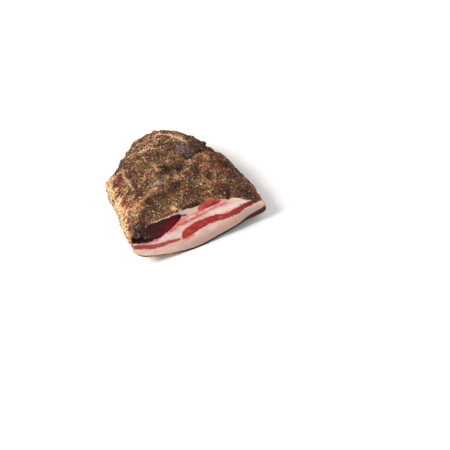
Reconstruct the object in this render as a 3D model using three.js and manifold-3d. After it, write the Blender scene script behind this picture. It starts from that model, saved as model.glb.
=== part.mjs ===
// A cured pork jowl, cut across and lying on its rind. Millimetres, +Z up.
// Own axes while it is shaped: X along the cut, Y into the meat, Z up from the surface it lies on,
// with the origin at the foot of the cut. The finished part is centred on its box.
import * as THREE from 'three';
import { mergeVertices } from 'three/addons/utils/BufferGeometryUtils.js';
import Module from 'manifold-3d';

const wasm = await Module();
wasm.setup();

// Driving dimensions
const CREST = 68.5;
const CUT_LEAN = THREE.MathUtils.degToRad(20);
const HUB = new THREE.Vector2(-14, 80);
const OUTLINE = [
  [75, 3], [72.5, 44], [65.5, 89], [49, 130], [28.5, 168], [-13, 187.5], [-46, 178.5], [-68, 151],
  [-89, 129], [-98.5, 109], [-101.5, 70], [-101, 20], [-98, -25], [-45, -66], [25, -60], [66, -38],
];
const WAIST = 29;
const WAIST_TILT = 7.5;
const PRESSED = 0.8;
const CRUST_BOXINESS = 2.9;
const BOX_SLANT = 0.55;
const RIND_BOXINESS = 4;
const RIND_SLANT = 4;
const CRUST_FACETS = 15;
const UPWARD_PULL = 0.3;
const FIT = 0.3;

// How far the domed top droops towards each side, and from where to where in plan.
const FRONT_DROOP = { depth: 12, from: 100, length: 80, bend: 1.6 };
const RIGHT_DROOP = { depth: 13, from: 5, to: 70, lessBehind: 0.43, behindFrom: 20, behindTo: 120 };
const LEFT_DROOP = { depth: 6, from: 20, to: 110, behindFrom: 60, behindTo: 140 };
const BACK_DROOP = { depth: 4, from: 120, to: 190 };

// The share of the way down the side over which the crags die out into the smooth rind.
const RIND_FROM = -0.75;
const RIND_TO = -0.2;

// Cracked pepper: how many places, how far down the side they reach, and the stones' radii.
const GRAIN_PLACES = 236;
const GRAIN_REACH = 1.22;
const GRAIN_DROP = 0.25;
const CROWN_SHARE = 0.88;
const GRAIN_MARGIN = 5;
const GRAIN_FLOOR = 14;
const GRAIN_SMALL = 1.5;
const GRAIN_LARGE = 2.7;
const GRAIN_ROUND = 2.1;
const GRAIN_OUT = 0.15;
const GRAIN_SEED = 2026;
const GOLDEN_ANGLE = Math.PI * (3 - Math.sqrt(5));
const TURN_WOBBLE = 0.15;

// How the rind curls up at both ends of the cut: where along it, over what length, how high and how bent.
const LEFT_CURL = { from: -22, length: 80, height: 15.5, bend: 1.5 };
const RIGHT_CURL = { from: -30, length: 80, height: 12.6, bend: 1.3 };
const CURL_END = 45;

// Ridges, bulges and hollows of the crust: the line they follow in plan, half width and rise.
const RELIEF = [
  { path: [[-92, 44], [-86, 46], [-74, 50], [-60, 55], [-46, 60]], width: 5, rise: 2.6 },
  { path: [[-92, 33], [-74, 40], [-50, 46], [-24, 46]], width: 5.5, rise: -2 },
  { path: [[-26, 64], [-14, 66], [-2, 73], [7, 82]], width: 5.5, rise: 3.2 },
  { path: [[-20, 162], [0, 157], [12, 138], [20, 116]], width: 6, rise: 4.4 },
  { path: [[-46, 142], [-28, 142], [-8, 140]], width: 5, rise: 1.4 },
  { path: [[-97, 119], [-97, 107]], width: 11, rise: 5 },
  { path: [[-70, 140], [-67, 142]], width: 4, rise: 2.6 },
  { path: [[8, 93], [18, 98], [28, 104]], width: 5.5, rise: -3.8 },
  { path: [[-26, 83], [-8, 81]], width: 6, rise: -4 },
  { path: [[5, 56], [10, 66], [12, 76]], width: 4.5, rise: -2.2 },
  { path: [[-27, 57], [-19, 56]], width: 5, rise: -3 },
  { path: [[28, 8], [30, 15], [32, 20], [36, 27]], width: 2.8, rise: -3 },
  { path: [[33, 9], [42, 8]], width: 6, rise: 4 },
];

// Irregular crags: wavelength and height of each family of waves.
const CRAGS = [
  { waves: 9, length: 46, height: 1.0 },
  { waves: 12, length: 24, height: 1.0 },
  { waves: 16, length: 12.5, height: 0.75 },
];
const CRAG_SEED = 71;

// Crags keep this share of their height at the cut, and all of it from this far behind it.
const CALM_SHARE = 0.35;
const CALM_FROM = 2;
const CALM_TO = 24;

// Lean muscles at the cut: points along the middle of each, as distance along the cut, height up the
// leaning face and thickness. Each runs back into the meat for its own depth.
const LEAN = {
  lean_thick: {
    spine: [[-38.8, 22.4, 5], [-35.5, 24.2, 10.4], [-29.5, 26.2, 13.8], [-20, 28.7, 12.8], [-10, 30.2, 11.6],
      [0, 30.8, 10.4], [11, 29.7, 9.8], [24, 27.9, 7.6], [37, 29, 8.8], [49, 31.4, 7.8], [61, 32.8, 6],
      [69, 32.6, 3.4], [73, 31.4, 1.6]],
    depth: 112,
    colour: 0xb0393b,
  },
  lean_thin: {
    spine: [[-99.2, 33.2, 5.4], [-88, 28.9, 6.8], [-76, 24.5, 7], [-62, 22.6, 5.6], [-51, 21.7, 4.8],
      [-44.5, 21, 3.6], [-41.6, 20.7, 1.4]],
    depth: 84,
    colour: 0xa8383c,
  },
  cheek_muscle: {
    spine: [[-98.3, 43.4, 6.2], [-92, 43.6, 14], [-85, 43.7, 18.6], [-77, 44.2, 21.2], [-69, 44.6, 21.8],
      [-61, 45.1, 20.2], [-54, 46.2, 17.6], [-47, 47.7, 13.8], [-41, 49.1, 10.2], [-36.5, 50, 7.8],
      [-33.2, 50.6, 4.2]],
    depth: 66,
    colour: 0x5a1c28,
    shrunk: true,
  },
  upper_lean: {
    spine: [[-9.6, 51, 5], [-4, 51.7, 7.6], [3, 52.4, 8.2], [10, 52.4, 7.4], [16, 51.9, 5],
      [21.5, 51.2, 1.6]],
    depth: 40,
    colour: 0xc25556,
  },
};

// The muscle has shrunk back from the crust's lip: flush at its right end, a small cave at its left.
const MUSCLE_SETBACK = 1.4;
const CAVE_DEPTH = 7.5;
const CAVE_FROM = -70;
const CAVE_TO = -90;

// A muscle's depth at its two ends, and the shares of the depth at which its section is taken.
const SHALLOW_RUN = 7;
const BACK_STEPS = [0.35, 0.65, 0.87];
const END_TAPER = 4;
const TONGUE_BLUNTNESS = 0.7;

// Rolled lip of crust over the muscle: distance along the cut, height up the face and radius.
const LIP = [
  [-97, 47.5, 2.6], [-92, 53, 3.8], [-82, 57, 4.4], [-68, 58.7, 4.4], [-54, 58.7, 4],
  [-40, 57.8, 3.2], [-28, 56.6, 2.2],
];
const LIP_BACK = 2.4;

// A nub that stands out of the crust at the right: its middle, radius and stretch.
const NUB = { middle: [41.5, 127.2, 46.6], radius: 3.3, stretch: [1, 1, 0.9] };

// Seeded random numbers from 0 to 1, the same in every run.
function seeded(seed) {
  let state = seed;
  return () => {
    state = (state * 16807) % 2147483647;
    return state / 2147483647;
  };
}

function smooth(from, to, value) {
  return THREE.MathUtils.smoothstep((value - from) / (to - from), 0, 1);
}

function closedSpline(points) {
  const knots = points.map(([x, y]) => new THREE.Vector3(x, y, 0));
  const curve = new THREE.CatmullRomCurve3(knots, true, 'catmullrom', 0.5);
  const stepsPerPoint = 24;
  return curve.getPoints(points.length * stepsPerPoint).slice(0, -1);
}

// How far the plan outline is from the hub at each bearing, as a table to interpolate in.
function bearings() {
  const table = closedSpline(OUTLINE).map((p) => {
    const dx = p.x - HUB.x;
    const dy = p.y - HUB.y;
    return { angle: Math.atan2(dy, dx), reach: Math.hypot(dx, dy) };
  });
  table.sort((a, b) => a.angle - b.angle);
  const first = table[0];
  const last = table[table.length - 1];
  table.unshift({ angle: last.angle - 2 * Math.PI, reach: last.reach });
  table.push({ angle: first.angle + 2 * Math.PI, reach: first.reach });
  return table;
}

const BEARINGS = bearings();

function reachAt(angle) {
  const i = BEARINGS.findIndex((b) => b.angle > angle);
  const a = BEARINGS[i - 1];
  const b = BEARINGS[i];
  const share = (angle - a.angle) / (b.angle - a.angle);
  return a.reach + share * (b.reach - a.reach);
}

// Height of the domed top over a point in plan.
function ceiling(x, y) {
  const forward = Math.max(FRONT_DROOP.from - y, 0) / FRONT_DROOP.length;
  const front = FRONT_DROOP.depth * forward ** FRONT_DROOP.bend;
  const behindRight = smooth(RIGHT_DROOP.behindFrom, RIGHT_DROOP.behindTo, y);
  const right = RIGHT_DROOP.depth * smooth(RIGHT_DROOP.from, RIGHT_DROOP.to, x);
  const behindLeft = smooth(LEFT_DROOP.behindFrom, LEFT_DROOP.behindTo, y);
  const left = LEFT_DROOP.depth * smooth(LEFT_DROOP.from, LEFT_DROOP.to, -x);
  const back = BACK_DROOP.depth * smooth(BACK_DROOP.from, BACK_DROOP.to, y);
  return CREST - front - right * (1 - RIGHT_DROOP.lessBehind * behindRight) - left * behindLeft - back;
}

// Height that the rind curls up to at both ends of the cut.
function curl(x, y) {
  const lift = (end, beyond) => end.height * THREE.MathUtils.clamp(beyond / end.length, 0, 1) ** end.bend;
  const ends = lift(LEFT_CURL, LEFT_CURL.from - x) + lift(RIGHT_CURL, x - RIGHT_CURL.from);
  return ends * (1 - smooth(0, CURL_END, y));
}

function distanceToPath(x, y, path) {
  const here = new THREE.Vector3(x, y, 0);
  const near = new THREE.Vector3();
  let best = Infinity;
  for (let i = 0; i + 1 < path.length; i += 1) {
    const leg = new THREE.Line3(new THREE.Vector3(...path[i], 0), new THREE.Vector3(...path[i + 1], 0));
    leg.closestPointToPoint(here, true, near);
    best = Math.min(best, here.distanceTo(near));
  }
  return best;
}

// Waves in fixed random directions add up to lumps with no direction of their own.
function cragWaves() {
  const random = seeded(CRAG_SEED);
  const waves = [];
  for (const family of CRAGS) {
    for (let i = 0; i < family.waves; i += 1) {
      const up = 2 * random() - 1;
      const turn = 2 * Math.PI * random();
      const flat = Math.sqrt(1 - up * up);
      const number = (2 * Math.PI / family.length) * (0.75 + 0.5 * random());
      waves.push({
        direction: new THREE.Vector3(flat * Math.cos(turn), flat * Math.sin(turn), up).multiplyScalar(number),
        phase: 2 * Math.PI * random(),
        height: family.height / Math.sqrt(family.waves),
      });
    }
  }
  return waves;
}

const WAVES = cragWaves();

function crags(point) {
  return WAVES.reduce((sum, w) => sum + w.height * Math.sin(w.direction.dot(point) + w.phase), 0);
}

// A point of the unit sphere, moved out to the jowl's surface: boxy in section, with the outline in plan.
function surface(unit) {
  const angle = Math.atan2(unit.y, unit.x);
  const flat = Math.hypot(unit.x, unit.y);
  const tall = Math.abs(unit.z);
  const upper = unit.z > 0;
  const rightward = Math.cos(angle);
  const rindPower = RIND_BOXINESS + RIND_SLANT * Math.max(rightward, 0);
  const power = upper ? CRUST_BOXINESS - BOX_SLANT * rightward : rindPower;
  const swell = (flat ** power + tall ** power) ** (-1 / power);
  const share = flat * swell;
  const lift = tall * swell;
  const reach = reachAt(angle);
  const x = HUB.x + share * reach * Math.cos(angle);
  const y = HUB.y + share * reach * Math.sin(angle);
  const waist = WAIST - WAIST_TILT * Math.cos(angle);
  const height = upper ? ceiling(x, y) - waist : waist - curl(x, y);
  const point = new THREE.Vector3(x, y, waist + (upper ? lift : -lift) * height);
  const steep = share ** (power - 1) / reach;
  const normal = new THREE.Vector3(
    steep * Math.cos(angle), steep * Math.sin(angle), (upper ? 1 : -1) * lift ** (power - 1) / height,
  ).normalize();
  const crusty = smooth(RIND_FROM, RIND_TO, upper ? lift : -lift);
  const behind = point.y - point.z * Math.tan(CUT_LEAN);
  let rise = crags(point) * (CALM_SHARE + (1 - CALM_SHARE) * smooth(CALM_FROM, CALM_TO, behind));
  for (const form of RELIEF) {
    const away = distanceToPath(x, y, form.path) / form.width;
    rise += form.rise * Math.exp(-away * away);
  }
  point.addScaledVector(normal, rise * crusty);
  point.z = Math.max(point.z, PRESSED) - PRESSED;
  return { point, normal };
}

// Directions are pulled upwards, so that the crust gets smaller facets than the rind.
function aimed(unit) {
  const up = unit.z + UPWARD_PULL * (1 - unit.z * unit.z);
  const flat = Math.hypot(unit.x, unit.y);
  const kept = flat > 1e-9 ? Math.sqrt(Math.max(1 - up * up, 0)) / flat : 0;
  return new THREE.Vector3(unit.x * kept, unit.y * kept, up);
}

function toManifold(geometry) {
  const bare = new THREE.BufferGeometry();
  bare.setAttribute('position', geometry.getAttribute('position'));
  if (geometry.index) bare.setIndex(geometry.index);
  const merged = mergeVertices(bare, 1e-4);
  return new wasm.Manifold(new wasm.Mesh({
    numProp: 3,
    vertProperties: new Float32Array(merged.getAttribute('position').array),
    triVerts: new Uint32Array(merged.index.array),
  }));
}

function toGeometry(manifold) {
  const mesh = manifold.getMesh();
  const geometry = new THREE.BufferGeometry();
  geometry.setAttribute('position', new THREE.BufferAttribute(new Float32Array(mesh.vertProperties), 3));
  geometry.setIndex(new THREE.BufferAttribute(new Uint32Array(mesh.triVerts), 1));
  return geometry;
}

function wholeJowl() {
  const geometry = new THREE.IcosahedronGeometry(1, CRUST_FACETS);
  const position = geometry.getAttribute('position');
  const unit = new THREE.Vector3();
  for (let i = 0; i < position.count; i += 1) {
    unit.fromBufferAttribute(position, i).normalize();
    const { point } = surface(aimed(unit));
    position.setXYZ(i, point.x, point.y, point.z);
  }
  geometry.deleteAttribute('normal');
  geometry.deleteAttribute('uv');
  return toManifold(geometry);
}

// All that lies in front of the leaning cut.
function cutAway() {
  const size = 500;
  const block = new THREE.BoxGeometry(size, size, size);
  block.translate(0, -size / 2, 0);
  block.rotateX(-CUT_LEAN);
  return toManifold(block);
}

function openSpline(points) {
  return new THREE.CatmullRomCurve3(points.map((p) => new THREE.Vector3(...p)), false, 'catmullrom', 0.5);
}

// A point of the cut face, or behind it by the given depth.
function onCut(along, up, behind = 0) {
  return new THREE.Vector3(along, up * Math.sin(CUT_LEAN) + behind, up * Math.cos(CUT_LEAN));
}

// Closed skin over a row of equal rings of points, with a fan over each end.
function ringsToManifold(rings) {
  const size = rings[0].length;
  const centre = (ring) => ring.reduce((sum, p) => sum.add(p), new THREE.Vector3()).divideScalar(size);
  const points = [...rings.flat(), centre(rings[0]), centre(rings[rings.length - 1])];
  const index = [];
  for (let i = 0; i + 1 < rings.length; i += 1) {
    for (let j = 0; j < size; j += 1) {
      const a = i * size + j;
      const b = i * size + ((j + 1) % size);
      index.push(a, a + size, b, b, a + size, b + size);
    }
  }
  const end = (rings.length - 1) * size;
  for (let j = 0; j < size; j += 1) {
    const next = (j + 1) % size;
    index.push(points.length - 2, j, next);
    index.push(points.length - 1, end + next, end + j);
  }
  const geometry = new THREE.BufferGeometry();
  geometry.setAttribute('position', new THREE.Float32BufferAttribute(points.flatMap((p) => p.toArray()), 3));
  geometry.setIndex(index);
  return toManifold(geometry);
}

function setback(along) {
  return MUSCLE_SETBACK + CAVE_DEPTH * smooth(CAVE_FROM, CAVE_TO, along);
}

// A muscle: a tongue that starts at the cut, follows its spine along it and thins out towards the back.
// With grow it is the pocket for the muscle instead, which opens at the cut.
function muscle({ spine, depth, shrunk }, grow = 0) {
  const curve = openSpline(spine);
  const first = spine[0][0];
  const last = spine[spine.length - 1][0];
  const middle = (first + last) / 2;
  const half = (last - first) / 2;
  const stations = spine.length * 2 + 1;
  const rings = [];
  for (let i = 0; i < stations; i += 1) {
    const { x, y, z } = curve.getPoint(i / (stations - 1));
    const along = x + grow * (x < middle ? -1 : 1) * smooth(half - END_TAPER, half, Math.abs(x - middle));
    const thick = z / 2 + grow;
    const bulge = Math.max(1 - ((x - middle) / half) ** 2, 0) ** TONGUE_BLUNTNESS;
    const back = shrunk ? setback(x) : 0;
    const begin = grow > 0 ? -grow : back;
    const run = back + SHALLOW_RUN + (depth - SHALLOW_RUN) * bulge + grow;
    const steps = [begin / run, ...BACK_STEPS];
    const above = steps.map((step) => onCut(along, y + thick * Math.sqrt(1 - step * step), run * step));
    const below = steps.map((step) => onCut(along, y - thick * Math.sqrt(1 - step * step), run * step));
    rings.push([onCut(along, y, begin), ...above, onCut(along, y, run), ...below.reverse()]);
  }
  return ringsToManifold(rings);
}

function largest(manifold) {
  const pieces = manifold.decompose();
  return pieces.reduce((best, piece) => (piece.volume() > best.volume() ? piece : best));
}

function lip() {
  const curve = openSpline(LIP);
  const sides = 8;
  const stations = 17;
  const rings = [];
  for (let i = 0; i < stations; i += 1) {
    const { x, y, z } = curve.getPoint(i / (stations - 1));
    const tangent = curve.getTangent(i / (stations - 1));
    const across = new THREE.Vector2(-tangent.y, tangent.x).normalize();
    const ring = [];
    for (let j = 0; j < sides; j += 1) {
      const turn = (2 * Math.PI * j) / sides;
      const out = z * Math.cos(turn);
      ring.push(onCut(x + across.x * out, y + across.y * out, LIP_BACK + z * Math.sin(turn)));
    }
    rings.push(ring);
  }
  return ringsToManifold(rings);
}

// The direction of a place on the crust: from the crown outwards, and then down the side.
function crustPlace(outward, turn) {
  const share = Math.min(outward, CROWN_SHARE);
  const shoulder = (1 - CROWN_SHARE ** CRUST_BOXINESS) ** (1 / CRUST_BOXINESS);
  const beyond = Math.max(outward - CROWN_SHARE, 0) / (GRAIN_REACH - CROWN_SHARE);
  const crown = (1 - share ** CRUST_BOXINESS) ** (1 / CRUST_BOXINESS);
  const lift = beyond > 0 ? shoulder - (shoulder + GRAIN_DROP) * beyond : crown;
  const flat = (1 - Math.abs(lift) ** CRUST_BOXINESS) ** (1 / CRUST_BOXINESS);
  return new THREE.Vector3(flat * Math.cos(turn), flat * Math.sin(turn), lift).normalize();
}

// Cracked pepper: uneven little stones, spread evenly over the crust by a spiral and sunk in by half.
function pepper() {
  const random = seeded(GRAIN_SEED);
  const grains = [];
  for (let i = 0; i < GRAIN_PLACES; i += 1) {
    const outward = GRAIN_REACH * Math.sqrt((i + random()) / GRAIN_PLACES);
    const turn = (i * GOLDEN_ANGLE + TURN_WOBBLE * random()) % (2 * Math.PI);
    const { point, normal } = surface(crustPlace(outward, turn));
    const radius = GRAIN_SMALL + (GRAIN_LARGE - GRAIN_SMALL) * random() ** 2;
    const shape = [0.75 + 0.4 * random(), 0.75 + 0.4 * random(), 0.6 + 0.3 * random()];
    const spin = new THREE.Euler(6 * random(), 6 * random(), 6 * random());
    const behindCut = point.y - point.z * Math.tan(CUT_LEAN);
    if (behindCut < GRAIN_MARGIN || point.z < GRAIN_FLOOR) continue;
    const round = radius > GRAIN_ROUND;
    const stone = round ? new THREE.IcosahedronGeometry(radius, 0) : new THREE.OctahedronGeometry(radius, 0);
    stone.scale(...shape);
    stone.rotateX(spin.x);
    stone.rotateY(spin.y);
    stone.translate(...point.addScaledVector(normal, radius * GRAIN_OUT).toArray());
    stone.deleteAttribute('normal');
    stone.deleteAttribute('uv');
    grains.push(toManifold(stone));
  }
  return grains;
}

function nub() {
  const stone = new THREE.IcosahedronGeometry(NUB.radius, 0);
  stone.scale(...NUB.stretch);
  stone.translate(...NUB.middle);
  stone.deleteAttribute('normal');
  stone.deleteAttribute('uv');
  return toManifold(stone);
}

let jowl = wholeJowl().subtract(cutAway()).add(lip()).add(nub());
for (const grain of pepper()) {
  jowl = jowl.add(grain);
}
for (const shape of Object.values(LEAN)) {
  jowl = jowl.subtract(muscle(shape, FIT));
}
jowl = largest(jowl);

const body = new THREE.Group();

function addMesh(name, manifold, colour, roughness) {
  const material = new THREE.MeshStandardMaterial({ color: colour, roughness, metalness: 0 });
  const mesh = new THREE.Mesh(toGeometry(manifold), material);
  mesh.name = name;
  body.add(mesh);
}

addMesh('jowl', jowl, 0x6f5237, 0.9);
for (const [name, shape] of Object.entries(LEAN)) {
  addMesh(name, muscle(shape), shape.colour, 0.5);
}

const bounds = new THREE.Box3().setFromObject(body);
body.position.set(-(bounds.min.x + bounds.max.x) / 2, -(bounds.min.y + bounds.max.y) / 2, -bounds.min.z);
const part = new THREE.Group();
part.add(body);

export default part;
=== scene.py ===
import bmesh
import bpy
import numpy as np
from mathutils import Matrix, Vector, noise


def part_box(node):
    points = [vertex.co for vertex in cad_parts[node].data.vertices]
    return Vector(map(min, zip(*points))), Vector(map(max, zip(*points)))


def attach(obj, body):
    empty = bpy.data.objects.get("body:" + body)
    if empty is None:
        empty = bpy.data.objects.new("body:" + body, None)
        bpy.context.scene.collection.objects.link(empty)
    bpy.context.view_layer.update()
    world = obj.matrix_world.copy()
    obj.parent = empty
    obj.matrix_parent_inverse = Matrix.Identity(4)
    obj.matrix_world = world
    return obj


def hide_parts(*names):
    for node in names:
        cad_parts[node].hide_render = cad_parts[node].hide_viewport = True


# A cured pork jowl, cut across and lying on its rind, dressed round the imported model.
# It is shaped in its own axes in millimetres, as the model is: X along the cut, Y into the meat,
# Z up, with the origin at the foot of the cut. Each finished piece is then moved into the frame.

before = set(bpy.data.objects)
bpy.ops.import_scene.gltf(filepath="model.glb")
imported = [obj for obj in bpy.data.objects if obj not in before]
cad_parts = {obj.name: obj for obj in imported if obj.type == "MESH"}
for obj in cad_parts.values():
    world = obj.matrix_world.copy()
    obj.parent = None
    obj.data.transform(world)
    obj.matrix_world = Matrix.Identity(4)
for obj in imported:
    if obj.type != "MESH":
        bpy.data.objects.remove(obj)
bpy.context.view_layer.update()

MILLIMETRE = 0.001

# Driving dimensions of the form, in millimetres, the same as the model's
CREST = 68.5
CUT_LEAN = np.radians(20)
HUB = np.array([-14.0, 80.0])
OUTLINE = [
    (75, 3), (72.5, 44), (65.5, 89), (49, 130), (28.5, 168), (-13, 187.5), (-46, 178.5), (-68, 151),
    (-89, 129), (-98.5, 109), (-101.5, 70), (-101, 20), (-98, -25), (-45, -66), (25, -60), (66, -38),
]
WAIST = 29
WAIST_TILT = 7.5
PRESSED = 0.8
CRUST_BOXINESS = 2.9
BOX_SLANT = 0.55
RIND_BOXINESS = 4
RIND_SLANT = 4

# How far the domed top droops towards each side, and from where to where in plan
FRONT_DROOP = {"depth": 12, "start": 100, "length": 80, "bend": 1.6}
RIGHT_DROOP = {"depth": 13, "start": 5, "end": 70, "less_behind": 0.43, "behind": (20, 120)}
LEFT_DROOP = {"depth": 6, "start": 20, "end": 110, "behind": (60, 140)}
BACK_DROOP = {"depth": 4, "start": 120, "end": 190}

# How the rind curls up at both ends of the cut: where along it, over what length, how high and how bent
LEFT_CURL = {"start": -22, "length": 80, "height": 15.5, "bend": 1.5}
RIGHT_CURL = {"start": -30, "length": 80, "height": 12.6, "bend": 1.3}
CURL_END = 45

# The share of the way down the side over which the crags die out into the smooth rind
RIND_FROM = -0.75
RIND_TO = -0.2

# Ridges, bulges and hollows of the crust: the line they follow in plan, half width and rise
RELIEF = [
    ([(-92, 44), (-86, 46), (-74, 50), (-60, 55), (-46, 60)], 5, 2.6),
    ([(-92, 33), (-74, 40), (-50, 46), (-24, 46)], 5.5, -2),
    ([(-26, 64), (-14, 66), (-2, 73), (7, 82)], 5.5, 3.2),
    ([(-20, 162), (0, 157), (12, 138), (20, 116)], 6, 4.4),
    ([(-46, 142), (-28, 142), (-8, 140)], 5, 1.4),
    ([(-97, 119), (-97, 107)], 11, 5),
    ([(-70, 140), (-67, 142)], 4, 2.6),
    ([(8, 93), (18, 98), (28, 104)], 5.5, -3.8),
    ([(-26, 83), (-8, 81)], 6, -4),
    ([(5, 56), (10, 66), (12, 76)], 4.5, -2.2),
    ([(-27, 57), (-19, 56)], 5, -3),
    ([(28, 8), (30, 15), (32, 20), (36, 27)], 2.8, -3),
    ([(33, 9), (42, 8)], 6, 4),
]

# Irregular crags: how many waves, wavelength and height of each family of waves
CRAGS = [(9, 46, 1.0), (12, 24, 1.0), (16, 12.5, 0.75)]
CRAG_SEED = 71

# Crags keep this share of their height at the cut, and all of it from this far behind it
CALM_SHARE = 0.35
CALM_FROM = 2
CALM_TO = 24

# Lean at the cut: points along the middle of each streak, as distance along the cut, height up the
# leaning face and thickness, and how deep the streak runs into the meat
LEAN = {
    "lean_thick": ([
        (-38.8, 22.4, 5), (-35.5, 24.2, 10.4), (-29.5, 26.2, 13.8), (-20, 28.7, 12.8), (-10, 30.2, 11.6),
        (0, 30.8, 10.4), (11, 29.7, 9.8), (24, 27.9, 7.6), (37, 29, 8.8), (49, 31.4, 7.8), (61, 32.8, 6),
        (69, 32.6, 3.4), (73, 31.4, 1.6)], 112),
    "lean_thin": ([
        (-99.2, 33.2, 5.4), (-88, 28.9, 6.8), (-76, 24.5, 7), (-62, 22.6, 5.6), (-51, 21.7, 4.8),
        (-44.5, 21, 3.6), (-41.6, 20.7, 1.4)], 84),
    "cheek_muscle": ([
        (-98.3, 43.4, 6.2), (-92, 43.6, 14), (-85, 43.7, 18.6), (-77, 44.2, 21.2), (-69, 44.6, 21.8),
        (-61, 45.1, 20.2), (-54, 46.2, 17.6), (-47, 47.7, 13.8), (-41, 49.1, 10.2), (-36.5, 50, 7.8),
        (-33.2, 50.6, 4.2)], 66),
    "upper_lean": ([
        (-9.6, 51, 5), (-4, 51.7, 7.6), (3, 52.4, 8.2), (10, 52.4, 7.4), (16, 51.9, 5),
        (21.5, 51.2, 1.6)], 40),
}
SHALLOW_RUN = 7
END_TAPER = 4
TONGUE_BLUNTNESS = 0.7
MUSCLE_SETBACK = 1.4
CAVE_DEPTH = 7.5
CAVE_FROM = -70
CAVE_TO = -90

# Rolled lip of crust over the muscle: distance along the cut, height up the face and radius
LIP = [
    (-97, 47.5, 2.6), (-92, 53, 3.8), (-82, 57, 4.4), (-68, 58.7, 4.4), (-54, 58.7, 4),
    (-40, 57.8, 3.2), (-28, 56.6, 2.2),
]
LIP_BACK = 2.4

# A nub that stands out of the crust at the right: its middle, radius and stretch
NUB = {"middle": (41.5, 127.2, 46.6), "radius": 3.3, "stretch": (1, 1, 0.9)}

# Sizes of the looks, in millimetres
CRUST_DEPTH = 2.0
THINNER_AT_CUT = 0.9
RIND_DEPTH = 1.7
RIND_FLAP = 4.2
THIN_EDGE = 0.8
SKIN_OVERLAP = 0.4
RIND_LINE = 16
RIGHT_END_RISE = 13
FACE_STEP = 0.55

# Gaps between the fat and the lean: round the dried cheek muscle, and round the other streaks
SHRINKAGE_GAP = 1.0
SNUG_GAP = 0.06

# How far behind the cut a streak has extra rings, for the wall of its pocket
NEAR_CUT = (-0.6, 0, 0.6, 1.4, 3)
STREAK_FRONT = -4.0
STREAK_STEPS = 12

# The spheres that the form starts from: how fine they are and how far they are pulled upwards
CRUST_LEVELS = 8
SKIN_LEVELS = 7
NUB_LEVELS = 4
UPWARD_PULL = 0.3

# What the cutting solids cover on the cut and in plan, and how far off their tip is
FACE_ALONG = (-122, 102)
FACE_UP = (-24, 92)
PLAN_X = (-130, 112)
PLAN_Y = (-90, 214)
PLAN_STEP = 2.0
FAR = 4000.0


def smooth(start, end, value):
    share = np.clip((value - start) / (end - start), 0, 1)
    return share * share * (3 - 2 * share)


def wander(points, length, offset=0.0):
    """Noise with lumps of about the given length at each point, from about -1 to 1."""
    places = (np.asarray(points, float) / length + offset).tolist()
    return np.fromiter((noise.noise(place) for place in places), float, len(places))


def billow(points, length, offset=0.0):
    """Round lumps with sharp creases between them, with a mean of about 0."""
    return 2.2 * np.abs(wander(points, length, offset)) - 0.42


def spline(points, count, closed=False):
    """count points on the Catmull-Rom curve through the given ones."""
    knots = np.array(points, float)
    if closed:
        padded = np.vstack([knots[-1:], knots, knots[:2]])
        place = np.arange(count) * len(knots) / count
    else:
        padded = np.vstack([2 * knots[0] - knots[1], knots, 2 * knots[-1] - knots[-2]])
        place = np.linspace(0, len(knots) - 1, count)
    leg = np.minimum(place.astype(int), len(padded) - 4)
    t = (place - leg)[:, None]
    a, b, c, d = (padded[leg + i] for i in range(4))
    square = 2 * a - 5 * b + 4 * c - d
    cube = 3 * b - a - 3 * c + d
    return 0.5 * (2 * b + (c - a) * t + square * t ** 2 + cube * t ** 3)


def near_path(x, y, path, width):
    """1 on a path, fading out over the width at either side of it."""
    here = np.stack([x, y], 1)
    best = np.full(len(here), np.inf)
    for start, end in zip(np.array(path, float), np.array(path[1:], float)):
        leg = end - start
        share = np.clip((here - start) @ leg / (leg @ leg), 0, 1)
        best = np.minimum(best, np.linalg.norm(here - start - share[:, None] * leg, axis=1))
    return np.exp(-(best / width) ** 2)


def near_spot(x, y, middle, half):
    """1 in the middle of a spot, fading out over its half sizes."""
    return np.exp(-(((x - middle[0]) / half[0]) ** 2 + ((y - middle[1]) / half[1]) ** 2))


# The outline as a table of the reach from the hub at each bearing
rim = spline(OUTLINE, 24 * len(OUTLINE), closed=True) - HUB
RIM_ORDER = np.argsort(np.arctan2(rim[:, 1], rim[:, 0]))
RIM_ANGLE = np.arctan2(rim[:, 1], rim[:, 0])[RIM_ORDER]
RIM_REACH = np.hypot(rim[:, 0], rim[:, 1])[RIM_ORDER]


def ceiling(x, y):
    """Height of the domed top over a point in plan."""
    ahead = np.maximum(FRONT_DROOP["start"] - y, 0) / FRONT_DROOP["length"]
    front = FRONT_DROOP["depth"] * ahead ** FRONT_DROOP["bend"]
    right = RIGHT_DROOP["depth"] * smooth(RIGHT_DROOP["start"], RIGHT_DROOP["end"], x)
    right *= 1 - RIGHT_DROOP["less_behind"] * smooth(*RIGHT_DROOP["behind"], y)
    left = LEFT_DROOP["depth"] * smooth(LEFT_DROOP["start"], LEFT_DROOP["end"], -x)
    left *= smooth(*LEFT_DROOP["behind"], y)
    back = BACK_DROOP["depth"] * smooth(BACK_DROOP["start"], BACK_DROOP["end"], y)
    return CREST - front - right - left - back


def curl(x, y):
    """Height that the rind curls up to at both ends of the cut."""
    height = 0
    for end, outward in ((LEFT_CURL, -1), (RIGHT_CURL, 1)):
        share = np.clip(outward * (x - end["start"]) / end["length"], 0, 1)
        height = height + end["height"] * share ** end["bend"]
    return height * (1 - smooth(0, CURL_END, y))


def seeded(seed):
    state = seed
    while True:
        state = (state * 16807) % 2147483647
        yield state / 2147483647


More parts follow.
